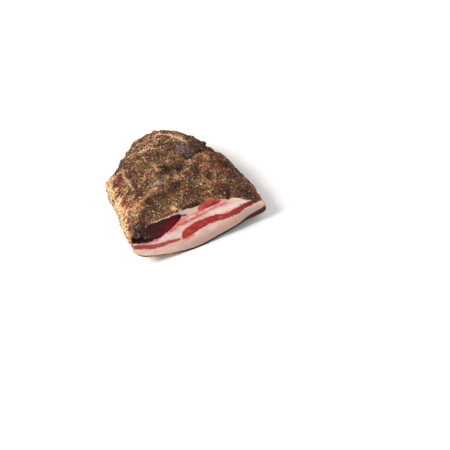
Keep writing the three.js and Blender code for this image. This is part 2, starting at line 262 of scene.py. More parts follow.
def crag_waves():
    """Waves in fixed random directions, which add up to lumps with no direction of their own."""
    draw = seeded(CRAG_SEED)
    rows = []
    for count, length, height in CRAGS:
        for _ in range(count):
            up = 2 * next(draw) - 1
            turn = 2 * np.pi * next(draw)
            number = (2 * np.pi / length) * (0.75 + 0.5 * next(draw))
            flat = np.sqrt(1 - up * up)
            direction = np.array([flat * np.cos(turn), flat * np.sin(turn), up]) * number
            rows.append((direction, 2 * np.pi * next(draw), height / np.sqrt(count)))
    return rows


WAVES = crag_waves()


def crags(points):
    return sum(height * np.sin(points @ direction + phase) for direction, phase, height in WAVES)


def behind_cut(points):
    """How far each point is behind the leaning cut."""
    return points[:, 1] * np.cos(CUT_LEAN) - points[:, 2] * np.sin(CUT_LEAN)


def cut_axes(points):
    """Points in the axes of the cut: along it, up it and behind it."""
    up = points[:, 1] * np.sin(CUT_LEAN) + points[:, 2] * np.cos(CUT_LEAN)
    return np.stack([points[:, 0], up, behind_cut(points)], 1)


def face_places(along, up, behind=0.0):
    """Rows of places in the same axes, from their coordinates."""
    return np.stack([along, up, behind + 0 * along], 1)


def on_cut(along, up, behind=0.0):
    """Points of the cut face, or behind it by the given depth."""
    along, up, behind = np.broadcast_arrays(along, up, behind)
    y = up * np.sin(CUT_LEAN) + behind
    return np.stack([along, y, up * np.cos(CUT_LEAN)], -1).astype(float)


def form(unit):
    """The jowl's surface for points of the unit sphere: points, outward directions and relief."""
    angle = np.arctan2(unit[:, 1], unit[:, 0])
    flat = np.hypot(unit[:, 0], unit[:, 1])
    tall = np.abs(unit[:, 2])
    upper = unit[:, 2] > 0
    rightward = np.cos(angle)
    rind_power = RIND_BOXINESS + RIND_SLANT * np.maximum(rightward, 0)
    power = np.where(upper, CRUST_BOXINESS - BOX_SLANT * rightward, rind_power)
    swell = (flat ** power + tall ** power) ** (-1 / power)
    share = flat * swell
    lift = tall * swell
    reach = np.interp(angle, RIM_ANGLE, RIM_REACH, period=2 * np.pi)
    x = HUB[0] + share * reach * rightward
    y = HUB[1] + share * reach * np.sin(angle)
    waist = WAIST - WAIST_TILT * rightward
    height = np.where(upper, ceiling(x, y) - waist, waist - curl(x, y))
    side = np.where(upper, 1, -1)
    points = np.stack([x, y, waist + side * lift * height], 1)
    steep = share ** (power - 1) / reach
    normals = np.stack([steep * rightward, steep * np.sin(angle), side * lift ** (power - 1) / height], 1)
    normals /= np.linalg.norm(normals, axis=1)[:, None]
    crusty = smooth(RIND_FROM, RIND_TO, side * lift)
    behind = points[:, 1] - points[:, 2] * np.tan(CUT_LEAN)
    rise = crags(points) * (CALM_SHARE + (1 - CALM_SHARE) * smooth(CALM_FROM, CALM_TO, behind))
    for path, width, bump in RELIEF:
        rise += bump * near_path(x, y, path, width)
    rise *= crusty
    return points + normals * rise[:, None], normals, rise, crusty


def pressed(points):
    """The underside is pressed flat where the jowl rests."""
    points = points.copy()
    points[:, 2] = np.maximum(points[:, 2], PRESSED) - PRESSED
    return points


# Meshes as numpy arrays: points in millimetres and triangles
def sphere(levels):
    """Points and triangles of an even unit sphere, pulled upwards for smaller facets on the crust."""
    ball = bmesh.new()
    bmesh.ops.create_icosphere(ball, subdivisions=levels, radius=1)
    mesh = bpy.data.meshes.new("ball")
    ball.to_mesh(mesh)
    ball.free()
    points, faces = arrays(mesh)
    bpy.data.meshes.remove(mesh)
    points /= np.linalg.norm(points, axis=1)[:, None]
    up = points[:, 2] + UPWARD_PULL * (1 - points[:, 2] ** 2)
    flat = np.hypot(points[:, 0], points[:, 1])
    kept = np.sqrt(np.maximum(1 - up * up, 0)) / np.maximum(flat, 1e-9)
    return np.stack([points[:, 0] * kept, points[:, 1] * kept, up], 1), faces


def arrays(mesh):
    mesh.calc_loop_triangles()
    points = np.empty(len(mesh.vertices) * 3, np.float32)
    mesh.vertices.foreach_get("co", points)
    faces = np.empty(len(mesh.loop_triangles) * 3, np.int32)
    mesh.loop_triangles.foreach_get("vertices", faces)
    return points.reshape(-1, 3).astype(float), faces.reshape(-1, 3)


def placed(name, data):
    made = bpy.data.objects.new(name, data)
    bpy.context.scene.collection.objects.link(made)
    return made


def solid(name, points, faces, **values):
    """A mesh object of triangles, facing outwards, with a number for each point under each name."""
    corners = points[faces]
    volume = np.einsum("ij,ij->", corners[:, 0], np.cross(corners[:, 1], corners[:, 2]))
    if volume < 0:
        faces = faces[:, ::-1]
    mesh = bpy.data.meshes.new(name)
    mesh.vertices.add(len(points))
    mesh.vertices.foreach_set("co", points.astype(np.float32).ravel())
    mesh.loops.add(faces.size)
    mesh.loops.foreach_set("vertex_index", faces.astype(np.int32).ravel())
    mesh.polygons.add(len(faces))
    mesh.polygons.foreach_set("loop_start", np.arange(len(faces), dtype=np.int32) * 3)
    mesh.update(calc_edges=True)
    for key, numbers in values.items():
        mesh.attributes.new(key, "FLOAT", "POINT").data.foreach_set("value", numbers.astype(np.float32))
    return placed(name, mesh)


def combine(target, operation, other):
    """The target becomes its UNION, DIFFERENCE or INTERSECT with the other solid, which is used up."""
    cut = target.modifiers.new("cut", "BOOLEAN")
    cut.object = other
    cut.operation = operation
    cut.solver = "MANIFOLD"
    made = bpy.data.meshes.new_from_object(target.evaluated_get(bpy.context.evaluated_depsgraph_get()))
    target.modifiers.clear()
    old = target.data
    target.data = made
    bpy.data.meshes.remove(old)
    used = other.data
    bpy.data.objects.remove(other)
    bpy.data.meshes.remove(used)


def numbers_of(mesh, key):
    values = np.zeros(len(mesh.vertices), np.float32)
    if key in mesh.attributes:
        mesh.attributes[key].data.foreach_get("value", values)
    return values.astype(float)


def edges_of(mesh):
    edges = np.empty(len(mesh.edges) * 2, np.int32)
    mesh.edges.foreach_get("vertices", edges)
    return edges.reshape(-1, 2)


def spread(mesh, values, known, rounds=4):
    """Points that a cut has added take the mean of their known neighbours."""
    edges = edges_of(mesh)
    values = values.copy()
    known = known.copy()
    for _ in range(rounds):
        total = np.zeros(len(values))
        count = np.zeros(len(values))
        for a, b in ((0, 1), (1, 0)):
            from_known = known[edges[:, b]]
            np.add.at(total, edges[from_known, a], values[edges[from_known, b]])
            np.add.at(count, edges[from_known, a], 1)
        reached = ~known & (count > 0)
        values[reached] = total[reached] / count[reached]
        known |= reached
    return values


def keep_largest(thing):
    """Removes all but the biggest connected piece of a mesh."""
    points, faces = arrays(thing.data)
    label = np.arange(len(points))
    edges = edges_of(thing.data)
    while True:
        low = np.minimum(label[edges[:, 0]], label[edges[:, 1]])
        joined = label.copy()
        np.minimum.at(joined, edges[:, 0], low)
        np.minimum.at(joined, edges[:, 1], low)
        joined = joined[joined]
        if (joined == label).all():
            break
        label = joined
    biggest = np.bincount(label).argmax()
    inside = label == biggest
    if inside.all():
        return
    renumber = np.cumsum(inside) - 1
    values = {
        item.name: numbers_of(thing.data, item.name)[inside]
        for item in thing.data.attributes if item.data_type == "FLOAT" and item.domain == "POINT"
    }
    kept = solid("kept", points[inside], renumber[faces[inside[faces[:, 0]]]], **values)
    old = thing.data
    thing.data = kept.data
    bpy.data.objects.remove(kept)
    bpy.data.meshes.remove(old)


def wedge(name, grid, apex):
    """A closed solid from a grid of points to a far apex, to cut with."""
    rows, columns = grid.shape[:2]
    number = np.arange(rows * columns).reshape(rows, columns)
    a, b, c, d = number[:-1, :-1], number[1:, :-1], number[:-1, 1:], number[1:, 1:]
    faces = np.concatenate([np.stack([a, c, b], -1).reshape(-1, 3), np.stack([b, c, d], -1).reshape(-1, 3)])
    border = np.concatenate([number[0, :-1], number[:-1, -1], number[-1, :0:-1], number[:0:-1, 0]])
    tip = np.full(len(border), rows * columns)
    sides = np.stack([np.roll(border, -1), border, tip], -1)
    points = np.vstack([grid.reshape(-1, 3), apex])
    return solid(name, points, np.vstack([faces, sides]))


def meat_block(name, depth_of, step=FACE_STEP):
    """All that lies behind the cut, whose face is at the depth that depth_of gives."""
    along, up = np.meshgrid(np.arange(*FACE_ALONG, step), np.arange(*FACE_UP, step), indexing="ij")
    depth = depth_of(along.ravel(), up.ravel()).reshape(along.shape)
    tip = on_cut(np.mean(FACE_ALONG), 30.0, FAR)
    return wedge(name, on_cut(along, up, depth), tip)


def knife_relief(along, up):
    """Slight waves and drag marks that the knife leaves on the face."""
    flat = face_places(along, up)
    tilted = face_places(along + 0.35 * up, up - 0.35 * along)
    drag = wander(tilted * np.array([0.12, 1, 1]), 1.7, 3.1)
    return 0.55 * wander(flat, 21) + 0.16 * wander(flat, 6, 5.5) + 0.09 * drag


def lean_relief(along, up):
    """Dried lean lies a little below the fat, with fibres along it."""
    flat = face_places(along, up)
    fibres = wander(flat * np.array([0.22, 1, 1]), 1.1, 7.7)
    return knife_relief(along, up) + 0.32 + 0.14 * fibres + 0.1 * wander(flat, 2.4, 1.9)


def setback(along):
    return MUSCLE_SETBACK + CAVE_DEPTH * smooth(CAVE_FROM, CAVE_TO, along)


def muscle_relief(along, up):
    """The cheek muscle has shrunk back from the face, deepest at its left end and under the lip."""
    flat = face_places(along, up)
    under_lip = 2.6 * smooth(46, 56, up + 0.12 * (along + 60))
    bumps = 0.5 * billow(flat * np.array([0.5, 1, 1]), 4.5, 2.2) + 0.22 * wander(flat, 1.8, 9.1)
    return setback(along) + under_lip + bumps


def edge_wobble(along, behind, side):
    """How far the border of a lean streak wanders."""
    places = face_places(along, behind * 0.15, 31.7 * side)
    return 0.8 * wander(places, 7.5) + 0.9 * wander(places, 2.8, 4.4) + 0.6 * wander(places, 1.3, 8.8)


def streak(name, key, grow=0.0):
    """A tongue of lean: it follows its spine along the cut and thins out towards the back."""
    spine, depth = LEAN[key]
    stations = 30 * len(spine)
    along, up, thick = spline(spine, stations).T
    middle = (spine[0][0] + spine[-1][0]) / 2
    half = (spine[-1][0] - spine[0][0]) / 2
    bulge = np.maximum(1 - ((along - middle) / half) ** 2, 0) ** TONGUE_BLUNTNESS
    set_in = setback(along) if key == "cheek_muscle" else 0
    run = set_in + SHALLOW_RUN + (depth - SHALLOW_RUN) * bulge + grow
    outward = np.where(along < middle, -1, 1) * smooth(half - END_TAPER, half, np.abs(along - middle))
    along = along + grow * outward
    shares = np.sin(np.linspace(0, np.pi / 2, STREAK_STEPS))
    levels = [np.full(stations, level) for level in (STREAK_FRONT, *NEAR_CUT)]
    levels += [NEAR_CUT[-1] + share * (run - NEAR_CUT[-1]) for share in shares[1:]]
    borders = {}
    for side in (1, -1):
        rows = []
        for level in levels:
            share = np.clip(level / run, 0, 1)
            wobble = side * edge_wobble(along, level, side) * np.minimum(thick / 3.5, 1)
            reach = (thick / 2 + grow + wobble) * np.sqrt(1 - share ** 2)
            rows.append(on_cut(along, up + side * reach, level))
        borders[side] = rows
    ring = borders[1][:-1] + [on_cut(along, up, run)] + borders[-1][-2::-1]
    return tube(name, np.stack(ring, 1))


def tube(name, rings, **values):
    """Closed skin over a row of equal rings of points, with a fan over each end."""
    count, size = rings.shape[:2]
    number = np.arange(count * size).reshape(count, size)
    around = np.roll(number, -1, axis=1)
    a, b, c, d = number[:-1], number[1:], around[:-1], around[1:]
    faces = [np.stack([a, b, c], -1).reshape(-1, 3), np.stack([c, b, d], -1).reshape(-1, 3)]
    points = [rings.reshape(-1, 3)]
    for row, middle, order in ((0, count * size, 1), (count - 1, count * size + 1, -1)):
        points.append(rings[row].mean(0)[None])
        fan = np.stack([np.full(size, middle), number[row], around[row]], -1)
        faces.append(fan[:, ::order])
    points = np.vstack(points)
    numbers = {key: np.full(len(points), value) for key, value in values.items()}
    return solid(name, points, np.vstack(faces), **numbers)


def lip_roll():
    """The rolled lip of crust over the muscle."""
    stations = 150
    sides = 28
    course = spline(LIP, stations)
    tangent = np.gradient(course[:, :2], axis=0)
    across = np.stack([-tangent[:, 1], tangent[:, 0]], 1)
    across /= np.linalg.norm(across, axis=1)[:, None]
    turn = np.linspace(0, 2 * np.pi, sides, endpoint=False)
    rings = []
    for (along, up, radius), (right, rise) in zip(course, across):
        here = on_cut(along, up, LIP_BACK)
        places = here + np.stack([np.cos(turn), np.sin(turn), 0 * turn], 1) * radius
        swollen = radius * (1 + 0.2 * wander(places, 6) + 0.14 * wander(places, 2.2, 3.3))
        out = swollen * np.cos(turn)
        rings.append(on_cut(along + right * out, up + rise * out, LIP_BACK + swollen * np.sin(turn)))
    return tube("lip", np.stack(rings), own=1.0)


# Tones
def tone(red, green, blue):
    """A colour as it looks on a screen, from 0 to 255, as linear light."""
    share = np.array([red, green, blue]) / 255
    return np.where(share <= 0.04045, share / 12.92, ((share + 0.055) / 1.055) ** 2.4)


def blend(first, second, share):
    share = np.asarray(share)[:, None]
    return first * (1 - share) + second * share


def overlay(colours, *layers):
    """The colours with each layer, which is a colour and its share, laid over them in turn."""
    for colour, share in layers:
        colours = blend(colours, colour, share)
    return colours


def ramp(value, stops):
    """Colours between the stops, which are (value, colour)."""
    places = [place for place, _ in stops]
    colours = np.array([colour for _, colour in stops])
    return np.stack([np.interp(value, places, colours[:, i]) for i in range(3)], 1)


DARK = tone(46, 29, 20)
UMBER = tone(82, 55, 38)
BROWN = tone(116, 77, 48)
TAN = tone(158, 112, 74)
CREAM = tone(220, 188, 152)
PEACH = tone(218, 164, 122)
RUST = tone(146, 78, 48)
OLIVE = tone(96, 77, 36)
GOLD = tone(204, 162, 106)
GREY = tone(104, 84, 82)
MAUVE = tone(84, 50, 48)
MAROON = tone(82, 38, 34)
RED = tone(92, 32, 30)
BLACKISH = tone(28, 19, 17)
STONE = tone(146, 126, 98)
PINK = tone(222, 124, 116)
SALMON = tone(196, 84, 74)
BLUSH = tone(230, 156, 146)
MILKY = tone(244, 218, 206)

# Tones that the crust takes on in places, and a few dark patches of painted shade in its hollows: the place
# in plan, half sizes, colour, strength, and how far it is bare of pepper
PATCHES = [
    ((-93, 106), (6, 9), CREAM, 0.7, 0.4),
    ((-80, 106), (7, 8.5), tone(98, 38, 34), 1.3, 0.9),
    ((-87.5, 98.5), (9, 9.5), tone(98, 38, 34), 1.3, 0.9),
    ((-76, 98), (3, 9), GOLD, 0.6, 0.2),
    ((-90, 67), (4, 8), RED, 0.4, 0),
    ((-70, 64), (6, 6), MAROON, 0.9, 0.1),
    ((-62, 118), (6, 5), MAROON, 0.6, 0),
    ((-88, 33), (6, 9), tone(126, 76, 52), 0.8, 0.15),
    ((-76, 28), (9, 6), tone(84, 48, 36), 0.8, 0),
    ((-70, 131), (6, 9), MAUVE, 0.7, 0),
    ((-40, 133), (9, 2.6), CREAM, 0.55, 0.3),
    ((-22, 128), (6, 2.4), CREAM, 0.45, 0.3),
    ((-17, 146), (5, 2.5), CREAM, 0.6, 0.3),
    ((-38, 156), (10, 4), PEACH, 0.4, 0),
    ((-58, 128), (6, 5), OLIVE, 0.5, 0),
    ((4, 113), (14, 10), GREY, 0.7, 0),
    ((10, 106), (15, 12), GREY, 0.85, 0),
    ((22, 112), (9, 9), MAUVE, 0.9, 0),
    ((20, 130), (6, 12), MAUVE, 0.7, 0),
    # Painted shade in the hollows of the relief
    ((-23, 79), (6, 5), DARK, 0.65, 0),
    ((-6, 86), (7, 4), DARK, 0.7, 0),
    ((-14, 65), (8, 3), PEACH, 0.75, 0.2),
    ((5, 80), (8, 4), PEACH, 0.6, 0),
    # Painted shade in a hollow of the relief
    ((-27, 57), (5, 3.5), DARK, 0.4, 0),
    ((28, 92), (9, 8), tone(168, 108, 68), 0.8, 0),
    ((24, 70), (12, 11), tone(158, 92, 66), 0.8, 0),
    ((40, 66), (12, 16), tone(144, 82, 62), 0.75, 0),
    ((46, 86), (7, 12), RUST, 0.6, 0),
    ((12, 46), (12, 5), GOLD, 0.3, 0),
    ((20, 42), (10, 5), tone(160, 110, 70), 0.7, 0),
    ((60, 56), (8, 20), tone(88, 50, 42), 0.75, 0),
    ((60, 14), (12, 7), tone(74, 56, 50), 0.9, 0),
    ((50, 96), (5, 12), MAUVE, 0.6, 0),
    ((42, 127), (5, 5), DARK, 0.8, 0.2),
    ((46, 26), (14, 9), MAUVE, 0.75, 0),
    ((62, 24), (10, 14), tone(60, 38, 34), 0.8, 0),
    ((-50, 105), (10, 9), OLIVE, 0.8, 0),
    ((-33, 110), (7, 7), OLIVE, 0.6, 0),
    ((-37.5, 94), (2.4, 11), tone(186, 138, 90), 0.95, 0.85),
    ((-56, 84), (4, 5), GOLD, 0.6, 0.2),
    ((-42, 69), (12, 6), STONE, 0.9, 0),
    ((-84, 56), (8, 7), tone(150, 84, 58), 0.8, 0.1),
    ((-76, 46), (8, 6), tone(190, 124, 78), 0.8, 0.15),
    ((-64, 34), (11, 10), tone(56, 46, 34), 0.8, 0),
    ((-38, 36), (14, 8), tone(104, 84, 58), 0.7, 0),
    ((-4, 43), (7, 4), OLIVE, 0.6, 0),
    ((-8, 36), (14, 10), tone(74, 42, 31), 0.9, 0),
    ((32, 32), (9, 12), tone(84, 44, 40), 0.8, 0),
    ((-10, 22), (16, 4), DARK, 0.6, 0),
    ((-38.5, 24.5), (4, 4.5), tone(222, 178, 132), 1, 0.9),
    ((-54, 21.5), (14, 2.5), TAN, 0.6, 0.3),
    ((30, 25), (1.6, 1.6), CREAM, 0.9, 0.8),
]

# Thin lines on the crust, painted highlights along its ridges first and then painted shade in its creases:
# points in plan, half width, colour and strength
LIT_RIDGES_AND_SHADED_CREASES = [
    ([(-10, 159), (-5, 153), (1, 146), (6, 137), (11, 127), (16, 118)], 0.9, tone(222, 190, 168), 0.75),
    ([(-30, 152), (-20, 156), (-12, 158)], 1.4, tone(228, 184, 158), 0.6),
    ([(-84, 46), (-74, 48), (-62, 54), (-50, 58)], 1.5, PEACH, 0.4),
    ([(-98, 60), (-90, 50), (-80, 44)], 2.6, PEACH, 0.6),
    ([(-74, 118), (-77, 106), (-75, 88), (-73, 74)], 1.6, CREAM, 0.4),
    ([(-60, 139), (-44, 137), (-30, 131)], 1.2, CREAM, 0.35),
    ([(-98, 108), (-91, 117), (-82, 119), (-75, 113)], 2.2, CREAM, 0.7),
    ([(-62, 51), (-50, 50), (-38, 49), (-28, 51), (-24, 57)], 1.6, DARK, 0.65),
    ([(4, 52), (6, 60), (9, 68), (13, 76)], 2.8, DARK, 0.7),
    ([(8, 90), (14, 95), (22, 100), (31, 106)], 3.2, BLACKISH, 0.9),
    ([(27, 6), (29, 12), (31, 18), (36, 27)], 1.3, BLACKISH, 0.85),
    ([(-47, 85), (-38, 82), (-27, 84)], 2.2, DARK, 0.45),
    ([(-25, 88), (-18, 84), (-8, 80), (3, 80)], 3.4, DARK, 0.85),
    ([(-22, 80), (-22, 68)], 3, DARK, 0.7),
    ([(14, 60), (24, 54)], 1.4, DARK, 0.25),
    ([(-72, 62), (-66, 58), (-60, 46)], 2.2, DARK, 0.5),
    ([(20, 84), (26, 78), (36, 74)], 1.6, DARK, 0.5),
    ([(-80, 30), (-70, 36), (-58, 38)], 2.4, DARK, 0.45),
]

# Where a pale skin shows between the lip and the cheek muscle: along the cut and up it
LIP_SEAM = [(-76, 58.5), (-68, 57.2), (-60, 56.6), (-50, 56.4), (-40, 56.8), (-30, 57.4)]


def crust_mottle_and_shading(points, relief):
    """The crust's mottling and unevenly warm tone, with painted light on its ridges and painted shade, near
    black, in its hollows.
    """
    cloud = wander(points * np.array([1, 1.5, 1]), 8, 4.7)
    # Paler where the relief stands high and darker where it sinks: painted light and shade
    high = 0.44 + 0.11 * np.clip(relief, -4, 1.6) + 0.26 * cloud + 0.34 * wander(points, 2.9, 6.6)
    high += 0.5 * wander(points, 1.5, 2.8)
    colours = ramp(high, [(0, DARK), (0.28, UMBER), (0.54, BROWN), (0.8, TAN), (1.1, CREAM)])
    warm = (wander(points, 2.3, 5.3) + 1.3 * wander(points, 13, 8.8))[:, None]
    return colours * np.clip(1 + warm * np.array([0.1, -0.05, -0.22]), 0.3, 2)


def flank_tones(points):
    """The streaky fat and meat of the left flank, and how strongly it shows through the crust."""
    x, y, z = points.T
    streaky = np.stack([0.26 * (0.85 * x + 0.5 * y), 0.85 * y - 0.5 * x, 0.6 * z], 1)
    high = 0.5 + 0.75 * wander(streaky, 3.2, 2.2) + 0.45 * wander(points, 2.2, 7.5)
    high += 0.5 * wander(points, 12, 3.6)
    # Paler towards the far left edge: painted light
    high += 0.5 * smooth(-94, -101, x)
    colours = ramp(high, [
        (0, tone(80, 42, 30)), (0.3, tone(130, 76, 46)), (0.6, tone(188, 130, 82)),
        (0.95, tone(236, 200, 148))])
    ragged = x + 5 * wander(points, 9, 5.8) + 3 * wander(points, 3, 1.7)
    back = y + 16 * wander(points, 15, 2.6) + 8 * wander(points, 5, 6.8)
    return colours, smooth(-74, -88, ragged) * smooth(132, 102, back) * smooth(-4, 4, y)


def crust_tones(points, relief):
    """Colours of the crust, and how far it is bare of pepper in each place."""
    x, y, z = points.T
    _, up, behind = cut_axes(points).T
    flank, share = flank_tones(points)
    colours = blend(crust_mottle_and_shading(points, relief), flank, 0.85 * share)
    bare = np.zeros(len(points))
    shift_x = 2.2 * wander(points, 11, 1.3) + 1.5 * wander(points, 4, 9.2)
    shift_y = 2.2 * wander(points, 11, 8.1) + 1.5 * wander(points, 4, 5.4)
    on_top = smooth(24, 40, z)
    broken = 0.8 + 0.6 * wander(points, 1.8, 4.1)
    for (px, py), (wide, long), colour, strength, open_share in PATCHES:
        away = np.hypot((x + shift_x - px) / wide, (y + shift_y - py) / long)
        share = (1 - smooth(0.5, 1.3, away)) * on_top
        colours = blend(colours, colour, np.clip(strength * broken, 0, 1) * share)
        bare = np.maximum(bare, open_share * share)
    for path, width, colour, strength in LIT_RIDGES_AND_SHADED_CREASES:
        near = near_path(x + 0.5 * shift_x, y + 0.5 * shift_y, path, width) * on_top
        colours = blend(colours, colour, np.clip(strength * (0.6 + 0.5 * broken), 0, 1) * near)
        bare = np.maximum(bare, 0.6 * near)
    # A dark band on the crust's rounded edge just behind the cut, above the fat: painted shade
    shaded_rim = smooth(4.5, 0.5, behind) * smooth(-34, -26, x) * smooth(-2, -9, x)
    meat_rim = smooth(3.4, 1.6, behind + 0.5 * shift_y) * smooth(-1, 4, x + 0.4 * shift_x)
    meat_rim *= smooth(16, 11, x)
    meat_rim *= smooth(46, 50, up)
    # Near black round the cave at the left end: partly the dark peppered meat and partly painted shade in the
    # recess
    cave = smooth(11, 3, behind + 1.5 * shift_y) * smooth(-70, -84, x + 2 * shift_y) * smooth(31, 36, up)
    cave *= smooth(-99, -95, x + 0.5 * shift_x) * (0.8 + 0.4 * broken)
    left_rim = smooth(10, 3, behind + shift_y) * smooth(-90, -95, x + 0.6 * shift_x) * smooth(28, 34, up)
    membrane = near_path(x, up, LIP_SEAM, 1.4) * smooth(4, 2, behind) * smooth(-76, -60, x)
    colours = overlay(
        colours,
        (BLACKISH, 0.8 * shaded_rim),
        (tone(172, 98, 76), 0.85 * meat_rim),
        (tone(54, 20, 20), 0.95 * np.clip(cave, 0, 1)),
        (tone(134, 78, 48), np.clip(0.95 * broken, 0, 1) * left_rim),
        (tone(220, 188, 166), 0.9 * membrane),
    )
    bare = np.maximum.reduce([bare, meat_rim, 0.4 * cave, 0.25 * left_rim])
    return colours, np.clip(bare + 0.9 * membrane, 0, 1)


# The layered meat between the two upper streaks of lean: distance along the cut, lower and upper border
# up the face, and how high its layers lie there
LAYERED = [
    (-61, 33.2, 35, 0), (-50, 34, 38.5, 1.6), (-40, 35.4, 44, 3.6), (-32, 37.2, 46.6, 4.6),
    (-20, 39.4, 48, 5.6), (-8, 40.6, 49, 7), (5, 42.4, 49.4, 8), (18, 43, 49, 8.5), (31, 43.4, 46.6, 8.5),
]

# Marks on the cut fat, with one painted highlight and one line of painted shade under the crust: points along
# each, as distance along the cut and height up it, half width, colour and strength
FAT_MARKS = [
    ([(-98, 38.4), (-90, 34.9), (-80, 32), (-68, 31.8)], 1.9, tone(162, 102, 90), 0.95),
    ([(-72, 32.6), (-64, 34), (-56, 36), (-49, 38.6), (-42, 42)], 1.1, tone(196, 84, 80), 0.8),
    ([(-37, 44.6), (-32, 43.6), (-27, 42.4)], 1.8, tone(224, 104, 100), 1),
    ([(-42, 42.4), (-34, 41), (-26, 40.4), (-16, 41.4)], 0.9, tone(176, 58, 56), 0.9),
    ([(-8, 42.8), (0, 43.8), (10, 44.2), (20, 44.8), (27, 45)], 0.8, tone(186, 80, 72), 0.8),
    ([(-60, 34.4), (-50, 35.4), (-42, 37.4)], 0.9, SALMON, 0.6),
    ([(-48, 35), (-40, 36), (-35, 37.4), (-30, 38.4)], 0.9, tone(200, 128, 88), 0.95),
    ([(-41.6, 20.6), (-37, 19), (-30, 18.4), (-24, 19.8)], 1.5, tone(204, 88, 76), 0.85),
    ([(-42, 16.4), (-36, 15.4), (-31, 15.4)], 0.9, PINK, 0.7),
    # Painted highlight
    ([(-57, 31), (-48, 29.4), (-41, 27.6)], 3.4, tone(234, 202, 206), 0.85),
    ([(-34, 54.6), (-24, 53.6), (-14, 52.4)], 3.0, tone(208, 186, 164), 0.85),
    ([(-26, 47.8), (-20, 48.2)], 2.0, tone(220, 188, 170), 0.6),
    ([(-32, 51.4), (-29, 50.6), (-25.5, 49.6)], 1.5, tone(100, 50, 28), 1.9),
    # Painted shade under the crust's rounded edge
    ([(-28, 58.4), (-18, 57), (-8, 56.6), (-2, 57.6)], 0.8, tone(72, 42, 30), 0.85),
    ([(6, 39.4), (22, 38.4), (36, 38.2), (50, 38.8)], 3.0, MILKY, 0.9),
    ([(31, 50.6), (37, 50), (43, 47.6), (48, 45), (54, 42)], 1.1, tone(210, 158, 116), 0.7),
    ([(33, 47.4), (40, 46.6), (46, 43.8)], 3.4, tone(240, 208, 174), 0.9),
    ([(24, 29.5), (27, 31), (28.5, 33.4)], 1.1, MILKY, 0.8),
    ([(21, 53.6), (26, 51), (31, 49)], 1.8, tone(206, 146, 112), 0.8),
    ([(24.4, 33.4), (26, 33)], 0.8, tone(120, 44, 40), 0.8),
    ([(43, 36), (46, 36.4)], 0.8, tone(110, 40, 38), 0.8),
]


def lean_distance(along, up):
    """How far outside the nearest lean streak a place on the cut is."""
    best = np.full(len(along), 50.0)
    for spine, _ in LEAN.values():
        course = spline(spine, 200)
        middle = np.interp(along, course[:, 0], course[:, 1])
        half = np.interp(along, course[:, 0], course[:, 2]) / 2
        outside = np.maximum(course[0, 0] - along, along - course[-1, 0])
        gap = np.abs(up - middle) - half
        best = np.minimum(best, np.where(outside > 0, np.hypot(outside, np.maximum(gap, 0)), gap))
    return best


def layer_tones(colours, x, up, flat):
    """Adds the thin pink and white layers of the meat between the upper streaks."""
    along, low, high, course = np.array(LAYERED, float).T
    low, high, level = (np.interp(x, along, row) for row in (low, high, course))
    inside = smooth(-0.9, 0.9, up - low) * smooth(-0.9, 0.9, high - up)
    inside *= smooth(along[0], along[0] + 7, x) * smooth(along[-1] + 2, along[-1] - 5, x)
    leafed = face_places(0.17 * x, up - level, 0.1 * flat[:, 2])
    leaf = 1.3 * wander(leafed, 2.1, 3.4) + 0.7 * wander(leafed, 1.0, 8.9) + 0.3 * wander(flat, 1.4, 6.6)
    layers = ramp(leaf, [(-0.65, MILKY), (-0.25, BLUSH), (0.05, PINK), (0.45, SALMON)])
    return blend(colours, layers, 0.9 * inside)


def fat_tones(points):
    """Colours of the fat at the cut: milky pink, redder towards the lean, greyer near the rind, darker
    towards the bottom and beside the rind as painted shade, and paler at the left end as painted light.
    """
    flat = cut_axes(points)
    x, up, behind = flat.T
    soft = wander(flat * np.array([0.4, 1, 1]), 4.5, 2.2)
    fine = wander(flat * np.array([0.3, 1, 1]), 1.3, 7.1)
    colours = ramp(0.5 + 0.5 * soft + 0.4 * fine, [
        (0, tone(208, 164, 152)), (0.5, tone(221, 185, 174)), (1, tone(234, 206, 196))])
    # Darker towards the bottom: painted shade
    low = smooth(20, 6, up - 0.9 * curl(x, 0 * x)) * smooth(-74, -20, x)
    grey_end = smooth(28, 52, x) * smooth(30, 22, up)
    colours = overlay(
        colours,
        (tone(174, 138, 120), 0.8 * low),
        (tone(178, 146, 142), 0.75 * grey_end * smooth(74, 64, x)),
    )
    colours = layer_tones(colours, x, up, flat)
    meaty = smooth(-9.5, -6, x + 1.2 * soft) * smooth(21.5, 18, x + soft) * smooth(48, 49, up + 0.6 * fine)
    meat = blend(tone(196, 84, 76) + 0 * colours, tone(180, 54, 52), smooth(-0.3, 0.2, fine))
    near = np.exp(-np.maximum(lean_distance(x, up), 0) / 1.2)
    blush = np.clip((0.7 + 0.5 * fine) * near, 0, 1) * (1 - meaty)
    colours = overlay(colours, (meat, meaty), (BLUSH, blush))
    shift_x = 2.2 * wander(flat, 6, 3.3)
    shift_up = 0.75 * wander(flat * np.array([0.5, 1, 1]), 3.2, 6.4) + 0.35 * wander(flat, 1.3, 1.1)
    for path, width, colour, strength in FAT_MARKS:
        near = near_path(x + shift_x, up + shift_up, path, width)
        colours = blend(colours, colour, np.clip(strength * near * (0.85 + 0.5 * fine), 0, 1))
    # Darker just above the rind at the right end: painted shade
    shade_near_rind = smooth(7, 0.5, up - 0.95 * curl(x, 0 * x) - 1.5) * smooth(36, 50, x)
    right_end = smooth(60, 76, x) * smooth(26, 32, up)
    wall = smooth(0.05, 0.5, behind - knife_relief(x, up)) * smooth(30, 32, up) * smooth(-28, -33, x)
    return overlay(
        colours,
        (tone(112, 74, 62), 0.55 * shade_near_rind),
        (tone(222, 178, 146), 0.5 * right_end),
        # Paler at the left end: painted light
        (tone(238, 196, 156), 0.5 * smooth(-86, -97, x)),
        (tone(126, 14, 32), 0.95 * wall),
        # Near black on the pocket wall in the cave: painted shade
        (tone(56, 28, 26), 0.95 * wall * smooth(-66, -76, x + 2 * soft)),
    )


